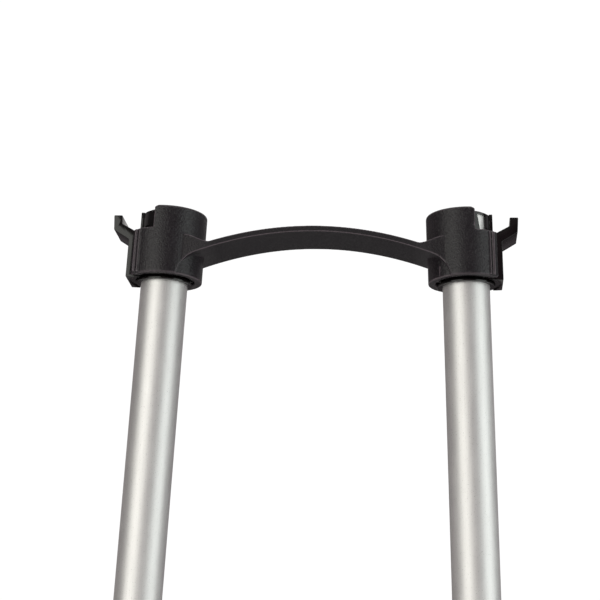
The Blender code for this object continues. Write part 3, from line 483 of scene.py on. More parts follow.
def add_piece(name, mesh, slot, body, node, angle=None, finish=None):
    """A finer piece that stands for a solid, with the material of that solid's slot; finish names another
    material for it.
    """
    piece = bpy.data.objects.new(name, mesh)
    bpy.context.scene.collection.objects.link(piece)
    if angle is not None:
        smooth(mesh, angle)
    mesh.materials.clear()
    mesh.materials.append(MATERIALS[finish or slot])
    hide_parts(node)
    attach(piece, body)
    return piece


# Yoke

COLLAR_RADIUS = 26.0 * MM
COLLAR_HEIGHT = 45.9 * MM
COLLAR_BOTTOM = -1.8 * MM
COLLAR_TOP_ROUND = 1.8 * MM
COLLAR_BOTTOM_ROUND = 1.4 * MM
COLLAR_LOWER_RADIUS = 25.6 * MM
BORE_RADIUS = 20.3 * MM
UPPER_BORE_RADIUS = 17.9 * MM
UPPER_BORE_START = 22.0 * MM
BORE_CHAMFER = 0.8 * MM
BOSS_HALF_DEPTH = 21.0 * MM
BOSS_REACH = 19.7 * MM
BOSS_BOTTOM = -0.8 * MM
BOSS_TOP = 29.0 * MM
BOSS_GROOVE_AT = 17.5 * MM
BOSS_GROOVE = 0.9 * MM
NOTCH_START = 6.9 * MM
NOTCH_FLOOR = 30.0 * MM
NOTCH_CORNER_WIDTH = 2.5 * MM
NOTCH_CORNER_DROP = 1.7 * MM
LATCH_GAP_START = 6.0 * MM
LATCH_GAP_HALF_WIDTH = 14.5 * MM
ARCH_HALF_DEPTH = 22.2 * MM
ARCH_CROWN = 32.5 * MM
ARCH_TOP_BEND = 2.24
ARCH_FOOT = 4 * MM
ARCH_END_INSIDE_COLLAR = 4 * MM
SOFFIT_CROWN = 28.6 * MM
SOFFIT_BEND = 2.3
GUSSET_START = 71.0 * MM
GUSSET_END = 88.0 * MM
GUSSET_TOP = 26.1 * MM
SWEEP_RADIUS = 20.0 * MM
SWEEP_END = 92.8 * MM
SWEEP_START_DEG = 72.0
PIN_AXIS_U = 16.6 * MM
PIN_AXIS_W = 20.0 * MM
PIN_HOLE_RADIUS = 1.6 * MM
PIN_HOLE_OUTER = 19.0 * MM


def arch_top(x):
    crown = ARCH_CROWN - ARCH_TOP_BEND * min(x, GUSSET_START) ** 2
    share = min(max((x - GUSSET_START) / (GUSSET_END - GUSSET_START), 0.0), 1.0)
    return crown + (GUSSET_TOP - crown) * share * share * (3 - 2 * share)


def soffit_half():
    center_x = SWEEP_END - SWEEP_RADIUS
    start = math.radians(SWEEP_START_DEG)
    meet_x = center_x + SWEEP_RADIUS * math.cos(start)
    meet_z = SOFFIT_CROWN - SOFFIT_BEND * meet_x ** 2
    center_z = meet_z - SWEEP_RADIUS * math.sin(start)
    span = [meet_x * i / 40 for i in range(40)]
    points = [(x, SOFFIT_CROWN - SOFFIT_BEND * x * x) for x in span]
    return points + arc((center_x, center_z), SWEEP_RADIUS, SWEEP_START_DEG, 0, 30)


def mirrored_run(half):
    return [(-x, z) for x, z in reversed(half[1:])] + half


def collar_outline():
    high, low = COLLAR_HEIGHT - COLLAR_TOP_ROUND, COLLAR_BOTTOM + COLLAR_BOTTOM_ROUND
    upper = arc((COLLAR_RADIUS - COLLAR_TOP_ROUND, high), COLLAR_TOP_ROUND, 90, 0, 8)
    lower = arc((COLLAR_RADIUS - COLLAR_BOTTOM_ROUND, low), COLLAR_BOTTOM_ROUND, 0, -90, 8)
    return [(0, COLLAR_HEIGHT)] + upper + lower + [(0, COLLAR_BOTTOM)]


def bore_outline():
    top = COLLAR_HEIGHT + OVERSHOOT
    low = COLLAR_BOTTOM - OVERSHOOT
    return [(0, top), (UPPER_BORE_RADIUS, top), (UPPER_BORE_RADIUS, UPPER_BORE_START),
            (BORE_RADIUS, UPPER_BORE_START), (BORE_RADIUS, COLLAR_BOTTOM + BORE_CHAMFER),
            (BORE_RADIUS + BORE_CHAMFER + OVERSHOOT, low), (0, low)]


def yoke_mesh():
    lift = Matrix.Translation((0, 0, COLLAR_PLANE))
    end = TUBE_SPACING / 2 - ARCH_END_INSIDE_COLLAR
    top_half = [(end * i / 90, arch_top(end * i / 90)) for i in range(91)]
    outline = mirrored_run(top_half) + [(end, ARCH_FOOT), (-end, ARCH_FOOT)]
    yoke = prism(outline, -ARCH_HALF_DEPTH, ARCH_HALF_DEPTH, lift @ OUTLINE_XZ)
    for side in SIDES.values():
        leg = leg_matrix(side)
        boss = side_box(side, (0, -BOSS_HALF_DEPTH, BOSS_BOTTOM),
                        (BOSS_REACH, BOSS_HALF_DEPTH, BOSS_TOP), leg)
        yoke = join(yoke, turned(collar_outline(), FINE, leg), boss, solver="MANIFOLD")
    reach = COLLAR_RADIUS + OVERSHOOT
    low = -12 * MM
    space = prism(mirrored_run(soffit_half()) + [(SWEEP_END, low), (-SWEEP_END, low)], -reach, reach,
                  lift @ OUTLINE_XZ)
    legs = [rod(COLLAR_LOWER_RADIUS, -20 * MM, 60 * MM, leg_matrix(side), FINE) for side in SIDES.values()]
    yoke = cut(yoke, cut(space, *legs, solver="MANIFOLD"), solver="MANIFOLD")
    for side in SIDES.values():
        yoke = opened_collar(yoke, side)
    return softened(yoke, 0.34 * MM, 4, 0.30)


def notch_corner(side, reach, leg):
    """The slanted corner between the collar's top face and the notch's side."""
    slope = NOTCH_CORNER_DROP / NOTCH_CORNER_WIDTH
    high = COLLAR_HEIGHT + OVERSHOOT
    outline = [(NOTCH_START - NOTCH_CORNER_WIDTH - OVERSHOOT / slope, high),
               (NOTCH_START + OVERSHOOT, COLLAR_HEIGHT - NOTCH_CORNER_DROP - OVERSHOOT * slope),
               (NOTCH_START + OVERSHOOT, high)]
    return prism([(side * u, w) for u, w in outline], -reach, reach, leg @ OUTLINE_XZ)


def opened_collar(yoke, side):
    leg = leg_matrix(side)
    top = COLLAR_HEIGHT + OVERSHOOT
    far = COLLAR_RADIUS + 2 * OVERSHOOT
    tools = [turned(bore_outline(), FINE, leg),
             side_box(side, (LATCH_GAP_START, -LATCH_GAP_HALF_WIDTH, COLLAR_BOTTOM - OVERSHOOT),
                      (far, LATCH_GAP_HALF_WIDTH, NOTCH_FLOOR + OVERSHOOT), leg),
             side_box(side, (NOTCH_START, -far, NOTCH_FLOOR), (far, far, top), leg),
             notch_corner(side, far, leg)]
    for front in (-1, 1):
        near, far = span(front, BOSS_HALF_DEPTH - BOSS_GROOVE, BOSS_HALF_DEPTH + OVERSHOOT)
        tools.append(side_box(side, (BOSS_GROOVE_AT - BOSS_GROOVE / 2, near, BOSS_BOTTOM - OVERSHOOT),
                              (BOSS_GROOVE_AT + BOSS_GROOVE / 2, far, BOSS_TOP + OVERSHOOT), leg))
        ends = span(-front, LATCH_GAP_HALF_WIDTH - OVERSHOOT, PIN_HOLE_OUTER)
        tools.append(rod(PIN_HOLE_RADIUS, *ends, latch_pin_axis(side, leg), 24))
    return cut(yoke, *tools, solver="MANIFOLD")


# Tubes, plugs and liner bushes

BUSH_INNER_RADIUS = TUBE_RADIUS + 0.25 * MM
BUSH_OUTER_RADIUS = 17.6 * MM
BUSH_BOTTOM = -4.2 * MM
BUSH_FLANGE_RADIUS = 19.2 * MM
BUSH_FLANGE_TOP = -2.6 * MM
BUSH_RIB_BOTTOM = 0.2 * MM
BUSH_TOP = 45.0 * MM
BUSH_RIB_RADIUS = 20.0 * MM
BUSH_RIB_TOP = 8.5 * MM
BUSH_RIBS = 16
BUSH_RIB_STEPS = 14
BUSH_LIP_REACH = 19.3 * MM
BUSH_LIP_HALF_WIDTH = 4.0 * MM
BUSH_LIP_BOTTOM = 31.5 * MM
BUSH_LIP_TOP = 46.0 * MM
BUSH_WINDOW_ANGLE = math.radians(-47.0)
BUSH_WINDOW_HALF_WIDTH = 4.0 * MM
BUSH_WINDOW_SLANT = 2.0 * MM
BUSH_WINDOW_BOTTOM = 31.0 * MM
BUSH_WINDOW_TOP = 43.6 * MM
PAWL_HALF_WIDTH = 2.8 * MM
PAWL_BOTTOM = 4.6 * MM
PAWL_TOP = 8.6 * MM
PAWL_SLOT_MARGIN = 0.6 * MM
TUBE_TOP = 44.4 * MM
TUBE_END_ABOVE_PIVOT = 24.0 * MM
SOCKET_BOLT_ABOVE_PIVOT = 52.0 * MM
SOCKET_BOLT_HOLE_RADIUS = 3.3 * MM
PLUG_FLANGE_TOP = 45.9 * MM
PLUG_FLANGE_RADIUS = 15.9 * MM


def pawl_slot(side, leg):
    half = PAWL_HALF_WIDTH + PAWL_SLOT_MARGIN
    return side_box(side, (12.5 * MM, -half, PAWL_BOTTOM - PAWL_SLOT_MARGIN),
                    (BUSH_RIB_RADIUS + OVERSHOOT, half, PAWL_TOP + PAWL_SLOT_MARGIN), leg)


def tube_mesh(side, leg):
    inner = TUBE_RADIUS - TUBE_WALL
    bottom = TUBE_END_ABOVE_PIVOT - LEG_LENGTH
    edge = 0.4 * MM
    points = [(TUBE_RADIUS - edge, TUBE_TOP), (TUBE_RADIUS, TUBE_TOP - edge), (TUBE_RADIUS, bottom + edge),
              (TUBE_RADIUS - edge, bottom), (inner + edge, bottom), (inner, bottom + edge),
              (inner, TUBE_TOP - edge), (inner + edge, TUBE_TOP)]
    reach = TUBE_RADIUS + OVERSHOOT
    hole = rod(SOCKET_BOLT_HOLE_RADIUS, -reach, reach, socket_bolt_axis(leg), 32)
    return cut(turned(points, FINE, leg, closed=True), pawl_slot(side, leg), hole)


def plug_mesh(leg):
    """Cap with a rounded rim, a shallow dish and a gate mark, over a hollow spigot."""
    rim, top = PLUG_FLANGE_RADIUS, PLUG_FLANGE_TOP
    spigot = TUBE_RADIUS - TUBE_WALL - GAP
    under = TUBE_TOP + GAP
    depth = under - 12 * MM
    wall = 1.8 * MM
    points = [(0, top - 0.25 * MM), (1.2 * MM, top - 0.25 * MM), (1.5 * MM, top - 0.45 * MM),
              (11 * MM, top - 0.45 * MM), (11.6 * MM, top)]
    points += arc((rim - 0.5 * MM, top - 0.5 * MM), 0.5 * MM, 90, 0, 4)
    points += [(rim, under), (spigot, under), (spigot, depth + 0.4 * MM), (spigot - 0.4 * MM, depth),
               (spigot - wall, depth), (spigot - wall, under - 0.1 * MM), (0, under - 0.1 * MM)]
    return turned(points, 96, leg)


def rib_outline():
    """Crown of rounded ribs about the sleeve."""
    count = BUSH_RIBS * BUSH_RIB_STEPS
    root = BUSH_OUTER_RADIUS - 0.4 * MM
    points = []
    for i in range(count):
        share = abs((i / BUSH_RIB_STEPS + 0.5) % 1.0 - 0.5)
        rise = min(max((0.31 - share) / 0.08, 0.0), 1.0)
        radius = root + (BUSH_RIB_RADIUS - root) * rise * rise * (3 - 2 * rise)
        angle = 2 * math.pi * i / count
        points.append((radius * math.cos(angle), radius * math.sin(angle)))
    return points


def bush_mesh(side, leg):
    edge = 0.35 * MM
    points = [(BUSH_OUTER_RADIUS, BUSH_TOP - edge), (BUSH_OUTER_RADIUS, BUSH_FLANGE_TOP)]
    points += arc((BUSH_FLANGE_RADIUS - edge, BUSH_FLANGE_TOP - edge), edge, 90, 0, 3)
    points += arc((BUSH_FLANGE_RADIUS - edge, BUSH_BOTTOM + edge), edge, 0, -90, 3)
    points += [(BUSH_INNER_RADIUS + edge, BUSH_BOTTOM), (BUSH_INNER_RADIUS, BUSH_BOTTOM + edge),
              (BUSH_INNER_RADIUS, BUSH_TOP - edge), (BUSH_INNER_RADIUS + edge, BUSH_TOP),
              (BUSH_OUTER_RADIUS - edge, BUSH_TOP)]
    sleeve = turned(points, FINE, leg, closed=True)
    crown = bevelled(prism(rib_outline(), BUSH_RIB_BOTTOM, BUSH_RIB_TOP, leg), edge, 2, 60)
    crown = cut(crown, rod(BUSH_INNER_RADIUS + 0.2 * MM, -OVERSHOOT, BUSH_RIB_TOP + OVERSHOOT, leg, FINE))
    lip = side_box(side, (BUSH_OUTER_RADIUS - 0.8 * MM, -BUSH_LIP_HALF_WIDTH, BUSH_LIP_BOTTOM),
                   (BUSH_LIP_REACH, BUSH_LIP_HALF_WIDTH, BUSH_LIP_TOP), leg)
    bush = join(sleeve, crown, bevelled(lip, edge, 2))
    half = BUSH_WINDOW_HALF_WIDTH
    outline = [(BUSH_WINDOW_SLANT - half, BUSH_WINDOW_BOTTOM), (half, BUSH_WINDOW_BOTTOM),
               (half, BUSH_WINDOW_TOP), (-half, BUSH_WINDOW_TOP)]
    turn = BUSH_WINDOW_ANGLE if side > 0 else BUSH_WINDOW_ANGLE + math.pi
    place = leg @ Matrix.Rotation(turn, 4, "Z") @ OUTLINE_YZ
    return cut(bush, pawl_slot(side, leg), prism(outline, TUBE_RADIUS - OVERSHOOT, BUSH_RIB_RADIUS, place))


# Side latches

LATCH_HALF_WIDTH = 14.1 * MM
LATCH_INNER_FACE = 20.0 * MM
LATCH_OUTER_FACE = 24.9 * MM
LATCH_FOOT = -3.1 * MM
LATCH_FLANGE_TOP = -0.5 * MM
LATCH_FLANGE_REACH = 9.0 * MM
LATCH_RECESS_RADIUS = 23.5 * MM
LATCH_RECESS = 0.8 * MM
LATCH_LUG_INNER = 10.6 * MM
LATCH_LUG_RADIUS = 2.4 * MM
LATCH_TAB_CORNERS = [(LATCH_OUTER_FACE, 23.7 * MM), (35.6 * MM, 29.9 * MM), (36.3 * MM, 40.2 * MM),
                     (30.5 * MM, 40.4 * MM), (30.2 * MM, 34.4 * MM), (LATCH_INNER_FACE, 29.2 * MM)]
LATCH_CORNER_RADII = [r * MM for r in (0.7, 1.0, 1.0, 0.6, 0.6, 0.8, 0.8, 0.5, 0.4, 0.4)]
PIN_RADIUS = 1.5 * MM
PIN_START = 10.9 * MM
PIN_END = 18.6 * MM
PAWL_TIP = 14.5 * MM
SPRING_W = 25.5 * MM
SPRING_START = 18.3 * MM
SPRING_END = 22.75 * MM
SPRING_COIL_RADIUS = 2.05 * MM
SPRING_RAISE = 0.35 * MM
SPRING_WIRE_RADIUS = 0.35 * MM
SPRING_TURNS = 4
SPRING_END_CROWDING = 0.035
SPRING_POCKET_RADIUS = 3.1 * MM
SPRING_POCKET_FLOOR = 23.4 * MM


def latch_mesh(side, leg):
    corners = [(LATCH_OUTER_FACE, LATCH_FOOT)] + LATCH_TAB_CORNERS
    corners += [(LATCH_INNER_FACE, LATCH_FLANGE_TOP), (LATCH_FLANGE_REACH, LATCH_FLANGE_TOP),
                (LATCH_FLANGE_REACH, LATCH_FOOT)]
    outline = [(side * u, w) for u, w in filleted(corners, LATCH_CORNER_RADII, 4)]
    latch = prism(outline, -LATCH_HALF_WIDTH, LATCH_HALF_WIDTH, leg @ OUTLINE_XZ)
    root = LATCH_INNER_FACE + OVERSHOOT
    lug = arc((PIN_AXIS_U, PIN_AXIS_W), LATCH_LUG_RADIUS, 90, 270, 16)
    lug += [(root, PIN_AXIS_W - LATCH_LUG_RADIUS), (root, PIN_AXIS_W + LATCH_LUG_RADIUS)]
    lug = [(side * u, w) for u, w in lug]
    lugs = [prism(lug, *span(front, LATCH_LUG_INNER, LATCH_HALF_WIDTH - 2 * GAP), leg @ OUTLINE_XZ)
            for front in (-1, 1)]
    pawl = side_box(side, (PAWL_TIP, -PAWL_HALF_WIDTH, PAWL_BOTTOM), (root, PAWL_HALF_WIDTH, PAWL_TOP), leg)
    latch = join(bevelled(latch, 0.45 * MM, 3, 50), *lugs, bevelled(pawl, 0.35 * MM, 2))
    reach = LATCH_HALF_WIDTH + OVERSHOOT
    low = LATCH_FOOT - OVERSHOOT
    pocket_place = leg @ Matrix.Translation((0, 0, SPRING_W)) @ Matrix.Rotation(side * math.pi / 2, 4, "Y")
    return cut(latch,
               rod(BUSH_FLANGE_RADIUS + 2 * GAP, low, LATCH_FLANGE_TOP + OVERSHOOT / 2, leg, FINE),
               rod(LATCH_RECESS_RADIUS, low, LATCH_FOOT + LATCH_RECESS, leg, FINE),
               rod(PIN_HOLE_RADIUS, -reach, reach, latch_pin_axis(side, leg), 32),
               rod(SPRING_POCKET_RADIUS, LATCH_INNER_FACE - OVERSHOOT, SPRING_POCKET_FLOOR, pocket_place, 40))


def spring_mesh(side, leg):
    """Wire coil along u, its end turns closed."""
    steps, around = 28, 10
    count = SPRING_TURNS * steps
    along = Vector((side, 0, 0))
    rings = []
    for i in range(count + 1):
        share = i / count
        eased = share + SPRING_END_CROWDING * math.sin(2 * math.pi * share)
        turn = 2 * math.pi * i / steps
        u = SPRING_START + (SPRING_END - SPRING_START) * eased
        middle = Vector((side * u, SPRING_COIL_RADIUS * math.cos(turn),
                         SPRING_W + SPRING_RAISE + SPRING_COIL_RADIUS * math.sin(turn)))
        outward = Vector((0, math.cos(turn), math.sin(turn)))
        angles = [2 * math.pi * k / around for k in range(around)]
        rings.append([middle + (outward * math.cos(angle) + along * math.sin(angle)) * SPRING_WIRE_RADIUS
                      for angle in angles])
    return skinned(rings, leg)


# Lower sockets and their bolts

SOCKET_RADIUS = 21.0 * MM
SOCKET_BORE_RADIUS = TUBE_RADIUS + GAP
SOCKET_BOTTOM = 19.6 * MM
SOCKET_TOP = 74.0 * MM
NECK_HALF_DEPTH = 13.0 * MM
KNUCKLE_RADIUS = 15.0 * MM
KNUCKLE_HALF_WIDTH = 15.0 * MM
KNUCKLE_BORE_RADIUS = 6.3 * MM
HEEL_HALF_WIDTH = 12.0 * MM
HEEL_HALF_DEPTH = 5.0 * MM
HEEL_REACH = 23.0 * MM
HEEL_ROOT = 8.0 * MM
SPOT_FACE_RADIUS = 8.5 * MM
SPOT_FACE_DEPTH = 1.5 * MM
SOCKET_BOLT_RADIUS = 3.0 * MM
SOCKET_BOLT_PITCH = 1.0 * MM
HEX_CIRCUMRADIUS = 5.8 * MM
HEX_HEAD = 4.0 * MM
HEX_NUT = 5.0 * MM
BOLT_END_BEYOND_NUT = 2.0 * MM


def socket_mesh(leg, pivot):
    knuckle = rod(KNUCKLE_RADIUS, -KNUCKLE_HALF_WIDTH, KNUCKLE_HALF_WIDTH, pivot @ ALONG_X, FINE)
    neck_half = KNUCKLE_HALF_WIDTH - OVERSHOOT / 2
    neck = box((-neck_half, -NECK_HALF_DEPTH, 2 * MM),
               (neck_half, NECK_HALF_DEPTH, SOCKET_BOTTOM + 3 * MM), pivot)
    heel = box((-HEEL_HALF_WIDTH, -HEEL_HALF_DEPTH, -HEEL_REACH),
               (HEEL_HALF_WIDTH, HEEL_HALF_DEPTH, -HEEL_ROOT), pivot)
    bottom, top, edge = SOCKET_BOTTOM - LEG_LENGTH, SOCKET_TOP - LEG_LENGTH, 2.5 * MM
    sleeve = [(0, top)] + arc((SOCKET_RADIUS - edge, top - edge), edge, 90, 0, 8)
    sleeve += arc((SOCKET_RADIUS - edge, bottom + edge), edge, 0, -90, 8) + [(0, bottom)]
    socket = join(knuckle, neck, heel, turned(sleeve, FINE, leg))
    bore_bottom = TUBE_END_ABOVE_PIVOT - GAP - LEG_LENGTH
    reach = KNUCKLE_HALF_WIDTH + OVERSHOOT
    bolt_place = socket_bolt_axis(leg)
    bolt_reach = SOCKET_RADIUS + OVERSHOOT
    spots = [rod(SPOT_FACE_RADIUS, *span(-front, SOCKET_RADIUS - SPOT_FACE_DEPTH, bolt_reach), bolt_place)
             for front in (-1, 1)]
    socket = cut(socket, rod(SOCKET_BORE_RADIUS, bore_bottom, top + OVERSHOOT, leg, FINE),
                 rod(KNUCKLE_BORE_RADIUS, -reach, reach, pivot @ ALONG_X),
                 rod(SOCKET_BOLT_HOLE_RADIUS, -bolt_reach, bolt_reach, bolt_place), *spots)
    return softened(socket, 0.5 * MM, 5, 0.3)


def placed(mesh, matrix):
    """Booleans of parts with shared planes are done about the origin, where they come out clean."""
    mesh.transform(matrix)
    return mesh


def hexagon(start, end):
    """Hexagonal bar along Z whose end corners are turned off."""
    corner = prism(circle(HEX_CIRCUMRADIUS, 6), start, end)
    flat = HEX_CIRCUMRADIUS * math.cos(math.pi / 6)
    drop = (HEX_CIRCUMRADIUS - flat) * 0.6
    low, high = min(start, end), max(start, end)
    wide = HEX_CIRCUMRADIUS + OVERSHOOT
    profile = [(0, low), (flat, low), (HEX_CIRCUMRADIUS, low + drop), (wide, low + drop),
               (wide, high - drop), (HEX_CIRCUMRADIUS, high - drop), (flat, high), (0, high)]
    return combined(corner, turned(profile, MEDIUM), "INTERSECT")


def threaded(radius, start, end, pitch, matrix=IDENTITY):
    """Round bar with ring threads along Z."""
    depth = 0.55 * pitch
    points = [(0, start), (radius - depth, start)]
    turns = int((end - start) / pitch)
    for i in range(turns):
        points += [(radius - depth, start + i * pitch), (radius, start + (i + 0.5) * pitch)]
    points += [(radius - depth, start + turns * pitch), (radius - depth, end), (0, end)]
    return turned(points, 40, matrix)


def socket_bolt_mesh(place):
    flat = SOCKET_RADIUS - SPOT_FACE_DEPTH + GAP
    tip = -flat - HEX_NUT - BOLT_END_BEYOND_NUT
    shank = rod(SOCKET_BOLT_RADIUS, -flat + 2 * MM, flat + OVERSHOOT, IDENTITY, 40)
    thread = threaded(SOCKET_BOLT_RADIUS, tip, -flat + 3 * MM, SOCKET_BOLT_PITCH)
    return placed(join(shank, thread, hexagon(flat, flat + HEX_HEAD)), place)


def socket_nut_mesh(place):
    flat = SOCKET_RADIUS - SPOT_FACE_DEPTH + GAP
    hole = rod(SOCKET_BOLT_RADIUS + THREAD_CLEARANCE, -flat - HEX_NUT - OVERSHOOT, -flat + OVERSHOOT,
               IDENTITY, 40)
    return placed(cut(hexagon(-flat - HEX_NUT, -flat), hole), place)


# Fold hinge

BRACKET_HALF_WIDTH = 32.0 * MM
BRACKET_HALF_DEPTH = 28.0 * MM
BRACKET_PLATE = 4.0 * MM
EAR_INNER = 16.8 * MM
EAR_THICKNESS = 4.0 * MM
EAR_RADIUS = 18.0 * MM
CLAMP_BOLT_RADIUS = 4.0 * MM
CLAMP_BOLT_PITCH = 1.25 * MM
CLAMP_HOLE_RADIUS = 4.3 * MM
CLAMP_HEAD_RADIUS = 9.0 * MM
CLAMP_HEAD = 4.0 * MM
HINGE_BUSH_BORE = 4.1 * MM
HINGE_BUSH_RADIUS = 6.0 * MM
DISC_RADIUS = 14.0 * MM
DISC_THICKNESS = 1.2 * MM
WASHER_RADIUS = 10.0 * MM
WASHER_THICKNESS = 1.5 * MM
KNOB_THICKNESS = 14.0 * MM
KNOB_MEAN_RADIUS = 18.0 * MM
KNOB_LOBE = 2.2 * MM
KNOB_LOBES = 7
KNOB_CROWN = [(3.0, 0.0), (1.6, 0.35), (0.6, 1.1), (0.0, 2.4),
              (0.0, 10.6), (0.6, 12.2), (1.6, 13.3), (3.0, 14.0)]
KNOB_HUB_RADIUS = 10.5 * MM
KNOB_HUB_HEIGHT = 3.0 * MM
INSERT_RADIUS = 6.5 * MM
INSERT_LENGTH = 10.0 * MM
STOP_PIN_RADIUS = 3.0 * MM
STOP_PIN_HOLE_RADIUS = 3.1 * MM
STOP_PIN_DROP = 20.0 * MM
STOP_PIN_BORE_RADIUS = 1.6 * MM
STOP_PIN_SLIT = 0.6 * MM
RAIL_HEIGHT = 25.0 * MM
RAIL_LENGTH = 340.0 * MM
RAIL_DEPTH = 60.0 * MM
RAIL_WALL = 2.5 * MM
RAIL_CORNER = 1.2 * MM
CAP_THICKNESS = 2.99 * MM
CAP_WALL = 2.5 * MM
SPIGOT_LENGTH = 12 * MM
SCREW_RADIUS = 3.0 * MM
SCREW_HOLE_RADIUS = 3.3 * MM
SCREW_HEAD_RADIUS = 5.2 * MM
SCREW_HEAD = 3.2 * MM
SCREW_LENGTH = 15.0 * MM
SCREW_PITCH = 1.0 * MM
SCREW_RIM = 0.6 * MM
SCREW_FLAT_RADIUS = 1.9 * MM
SCREW_SPREAD_X = 27.0 * MM
SCREW_SPREAD_Y = 18.0 * MM
EAR_OUTER = EAR_INNER + EAR_THICKNESS
KNOB_START = EAR_OUTER + GAP + WASHER_THICKNESS + GAP


def outward(side, pivot):
    """Z along the world X, away from the middle of the frame."""
    return pivot @ Matrix.Rotation(side * math.pi / 2, 4, "Y")


def stop_pin_axis(pivot):
    return pivot @ Matrix.Translation((0, HEEL_HALF_DEPTH + GAP + STOP_PIN_RADIUS, -STOP_PIN_DROP)) @ ALONG_X


def bracket_mesh(pivot):
    """Base plate with rounded corners, and two ears with flared feet."""
    plate_bottom = RAIL_HEIGHT + GAP - PIVOT_HEIGHT
    corners = [(-BRACKET_HALF_WIDTH, -BRACKET_HALF_DEPTH), (BRACKET_HALF_WIDTH, -BRACKET_HALF_DEPTH),
               (BRACKET_HALF_WIDTH, BRACKET_HALF_DEPTH), (-BRACKET_HALF_WIDTH, BRACKET_HALF_DEPTH)]
    plate_top = plate_bottom + BRACKET_PLATE
    plate = prism(filleted(corners, [3 * MM] * 4, 8), plate_bottom, plate_top, pivot)
    foot = plate_bottom + BRACKET_PLATE / 2
    ear = [(-EAR_RADIUS, foot), (EAR_RADIUS, foot)] + arc((0, 0), EAR_RADIUS, 0, 180, 48)
    ears = [bevelled(prism(ear, *span(hand, EAR_INNER, EAR_OUTER), pivot @ OUTLINE_YZ), 0.5 * MM, 3, 50)
            for hand in (-1, 1)]
    reach = EAR_OUTER + OVERSHOOT
    holes = [rod(SCREW_HOLE_RADIUS, plate_bottom - OVERSHOOT, plate_top + OVERSHOOT,
                 pivot @ Matrix.Translation((x, y, 0)))
             for x in (-SCREW_SPREAD_X, SCREW_SPREAD_X) for y in (-SCREW_SPREAD_Y, SCREW_SPREAD_Y)]
    return cut(join(bevelled(plate, 0.6 * MM, 3, 50), *ears),
               rod(CLAMP_HOLE_RADIUS, -reach, reach, pivot @ ALONG_X),
               rod(STOP_PIN_HOLE_RADIUS, -reach, reach, stop_pin_axis(pivot)), *holes)


def stop_pin_mesh(pivot):
    """Spring pin with chamfered ends and a slit."""
    half = EAR_OUTER - GAP
    reach = half + OVERSHOOT
    place = stop_pin_axis(pivot)
    pin = rod(STOP_PIN_RADIUS, -half, half, place, 48, edge=0.6 * MM)
    return cut(pin, rod(STOP_PIN_BORE_RADIUS, -reach, reach, place, 32),
               box((0, -STOP_PIN_SLIT / 2, -reach), (4 * MM, STOP_PIN_SLIT / 2, reach), place))


def ring_mesh(inner, outer, start, end, place, edge):
    points = [(outer - edge, start), (outer, start + edge), (outer, end - edge), (outer - edge, end),
              (inner + edge, end), (inner, end - edge), (inner, start + edge), (inner + edge, start)]
    return turned(points, 96, place, closed=True)


def clamp_bolt_mesh(place):
    """Low round head with a hexagon recess inside the frame, and a threaded shank."""
    head_top = -EAR_OUTER - GAP
    head_low = head_top - CLAMP_HEAD
    edge = 1.2 * MM
    rim = 0.3 * MM
    head = [(0, head_top), (CLAMP_HEAD_RADIUS - rim, head_top), (CLAMP_HEAD_RADIUS, head_top - rim)]
    head += arc((CLAMP_HEAD_RADIUS - edge, head_low + edge), edge, 0, -90, 6) + [(0, head_low)]
    recess = prism(circle(3.4 * MM, 6), head_low - OVERSHOOT, head_low + 2.4 * MM)
    end = KNOB_START + INSERT_LENGTH + OVERSHOOT / 2
    bolt = join(cut(turned(head, 96), recess),
                rod(CLAMP_BOLT_RADIUS, head_top - OVERSHOOT, EAR_OUTER, IDENTITY, 48),
                threaded(CLAMP_BOLT_RADIUS, EAR_OUTER - OVERSHOOT, end, CLAMP_BOLT_PITCH))
    return placed(bolt, place)


def knob_outline(shrink):
    count = KNOB_LOBES * 24
    points = []
    for i in range(count):
        turn = 2 * math.pi * i / count
        radius = KNOB_MEAN_RADIUS + KNOB_LOBE * math.cos(KNOB_LOBES * turn) - shrink
        points.append((radius * math.cos(turn), radius * math.sin(turn)))
    return points


def knob_mesh(place, side):
    """Star grip with crowned edges, a raised hub and a shallow dish in its face."""
    start, end = KNOB_START, KNOB_START + KNOB_THICKNESS
    rings = [[(side * b, a, start + height * MM) for a, b in knob_outline(shrink * MM)]
             for shrink, height in KNOB_CROWN]
    knob = skinned(rings, place)
    edge = 0.8 * MM
    top = end + KNOB_HUB_HEIGHT
    hub = [(0, end - OVERSHOOT), (KNOB_HUB_RADIUS, end - OVERSHOOT)]
    hub += arc((KNOB_HUB_RADIUS - edge, top - edge), edge, 0, 90, 5)
    dish = top - 0.6 * MM
    hub += [(KNOB_HUB_RADIUS - 2.2 * MM, top), (KNOB_HUB_RADIUS - 2.8 * MM, dish), (0, dish)]
    knob = join(knob, turned(hub, 96, place))
    seat = rod(INSERT_RADIUS + GAP, start - OVERSHOOT, KNOB_START + INSERT_LENGTH + 2 * MM, place)
    return cut(knob, seat)


def insert_mesh(place):
    """Threaded brass insert, knurled between two plain bands."""
    start, end = KNOB_START, KNOB_START + INSERT_LENGTH
    bore = CLAMP_BOLT_RADIUS + THREAD_CLEARANCE
    body = ring_mesh(bore, INSERT_RADIUS - 0.25 * MM, start, end, place, 0.3 * MM)
    teeth = 36
    outline = []
    for i in range(teeth * 2):
        radius = INSERT_RADIUS - (0.3 * MM if i % 2 else 0.0)
        turn = math.pi * i / teeth
        outline.append((radius * math.cos(turn), radius * math.sin(turn)))
    for low, high in ((start + 1 * MM, start + 4.4 * MM), (start + 5.6 * MM, end - 1 * MM)):
        hole = rod(bore + 0.4 * MM, low - OVERSHOOT, high + OVERSHOOT, place)
        body = join(body, cut(prism(outline, low, high, place), hole))
    return body


# End rail

def rail_section(inset, radius, steps):
    half_y, low, high = RAIL_DEPTH / 2 - inset, inset, RAIL_HEIGHT - inset
    return filleted([(-half_y, low), (half_y, low), (half_y, high), (-half_y, high)], [radius] * 4, steps)


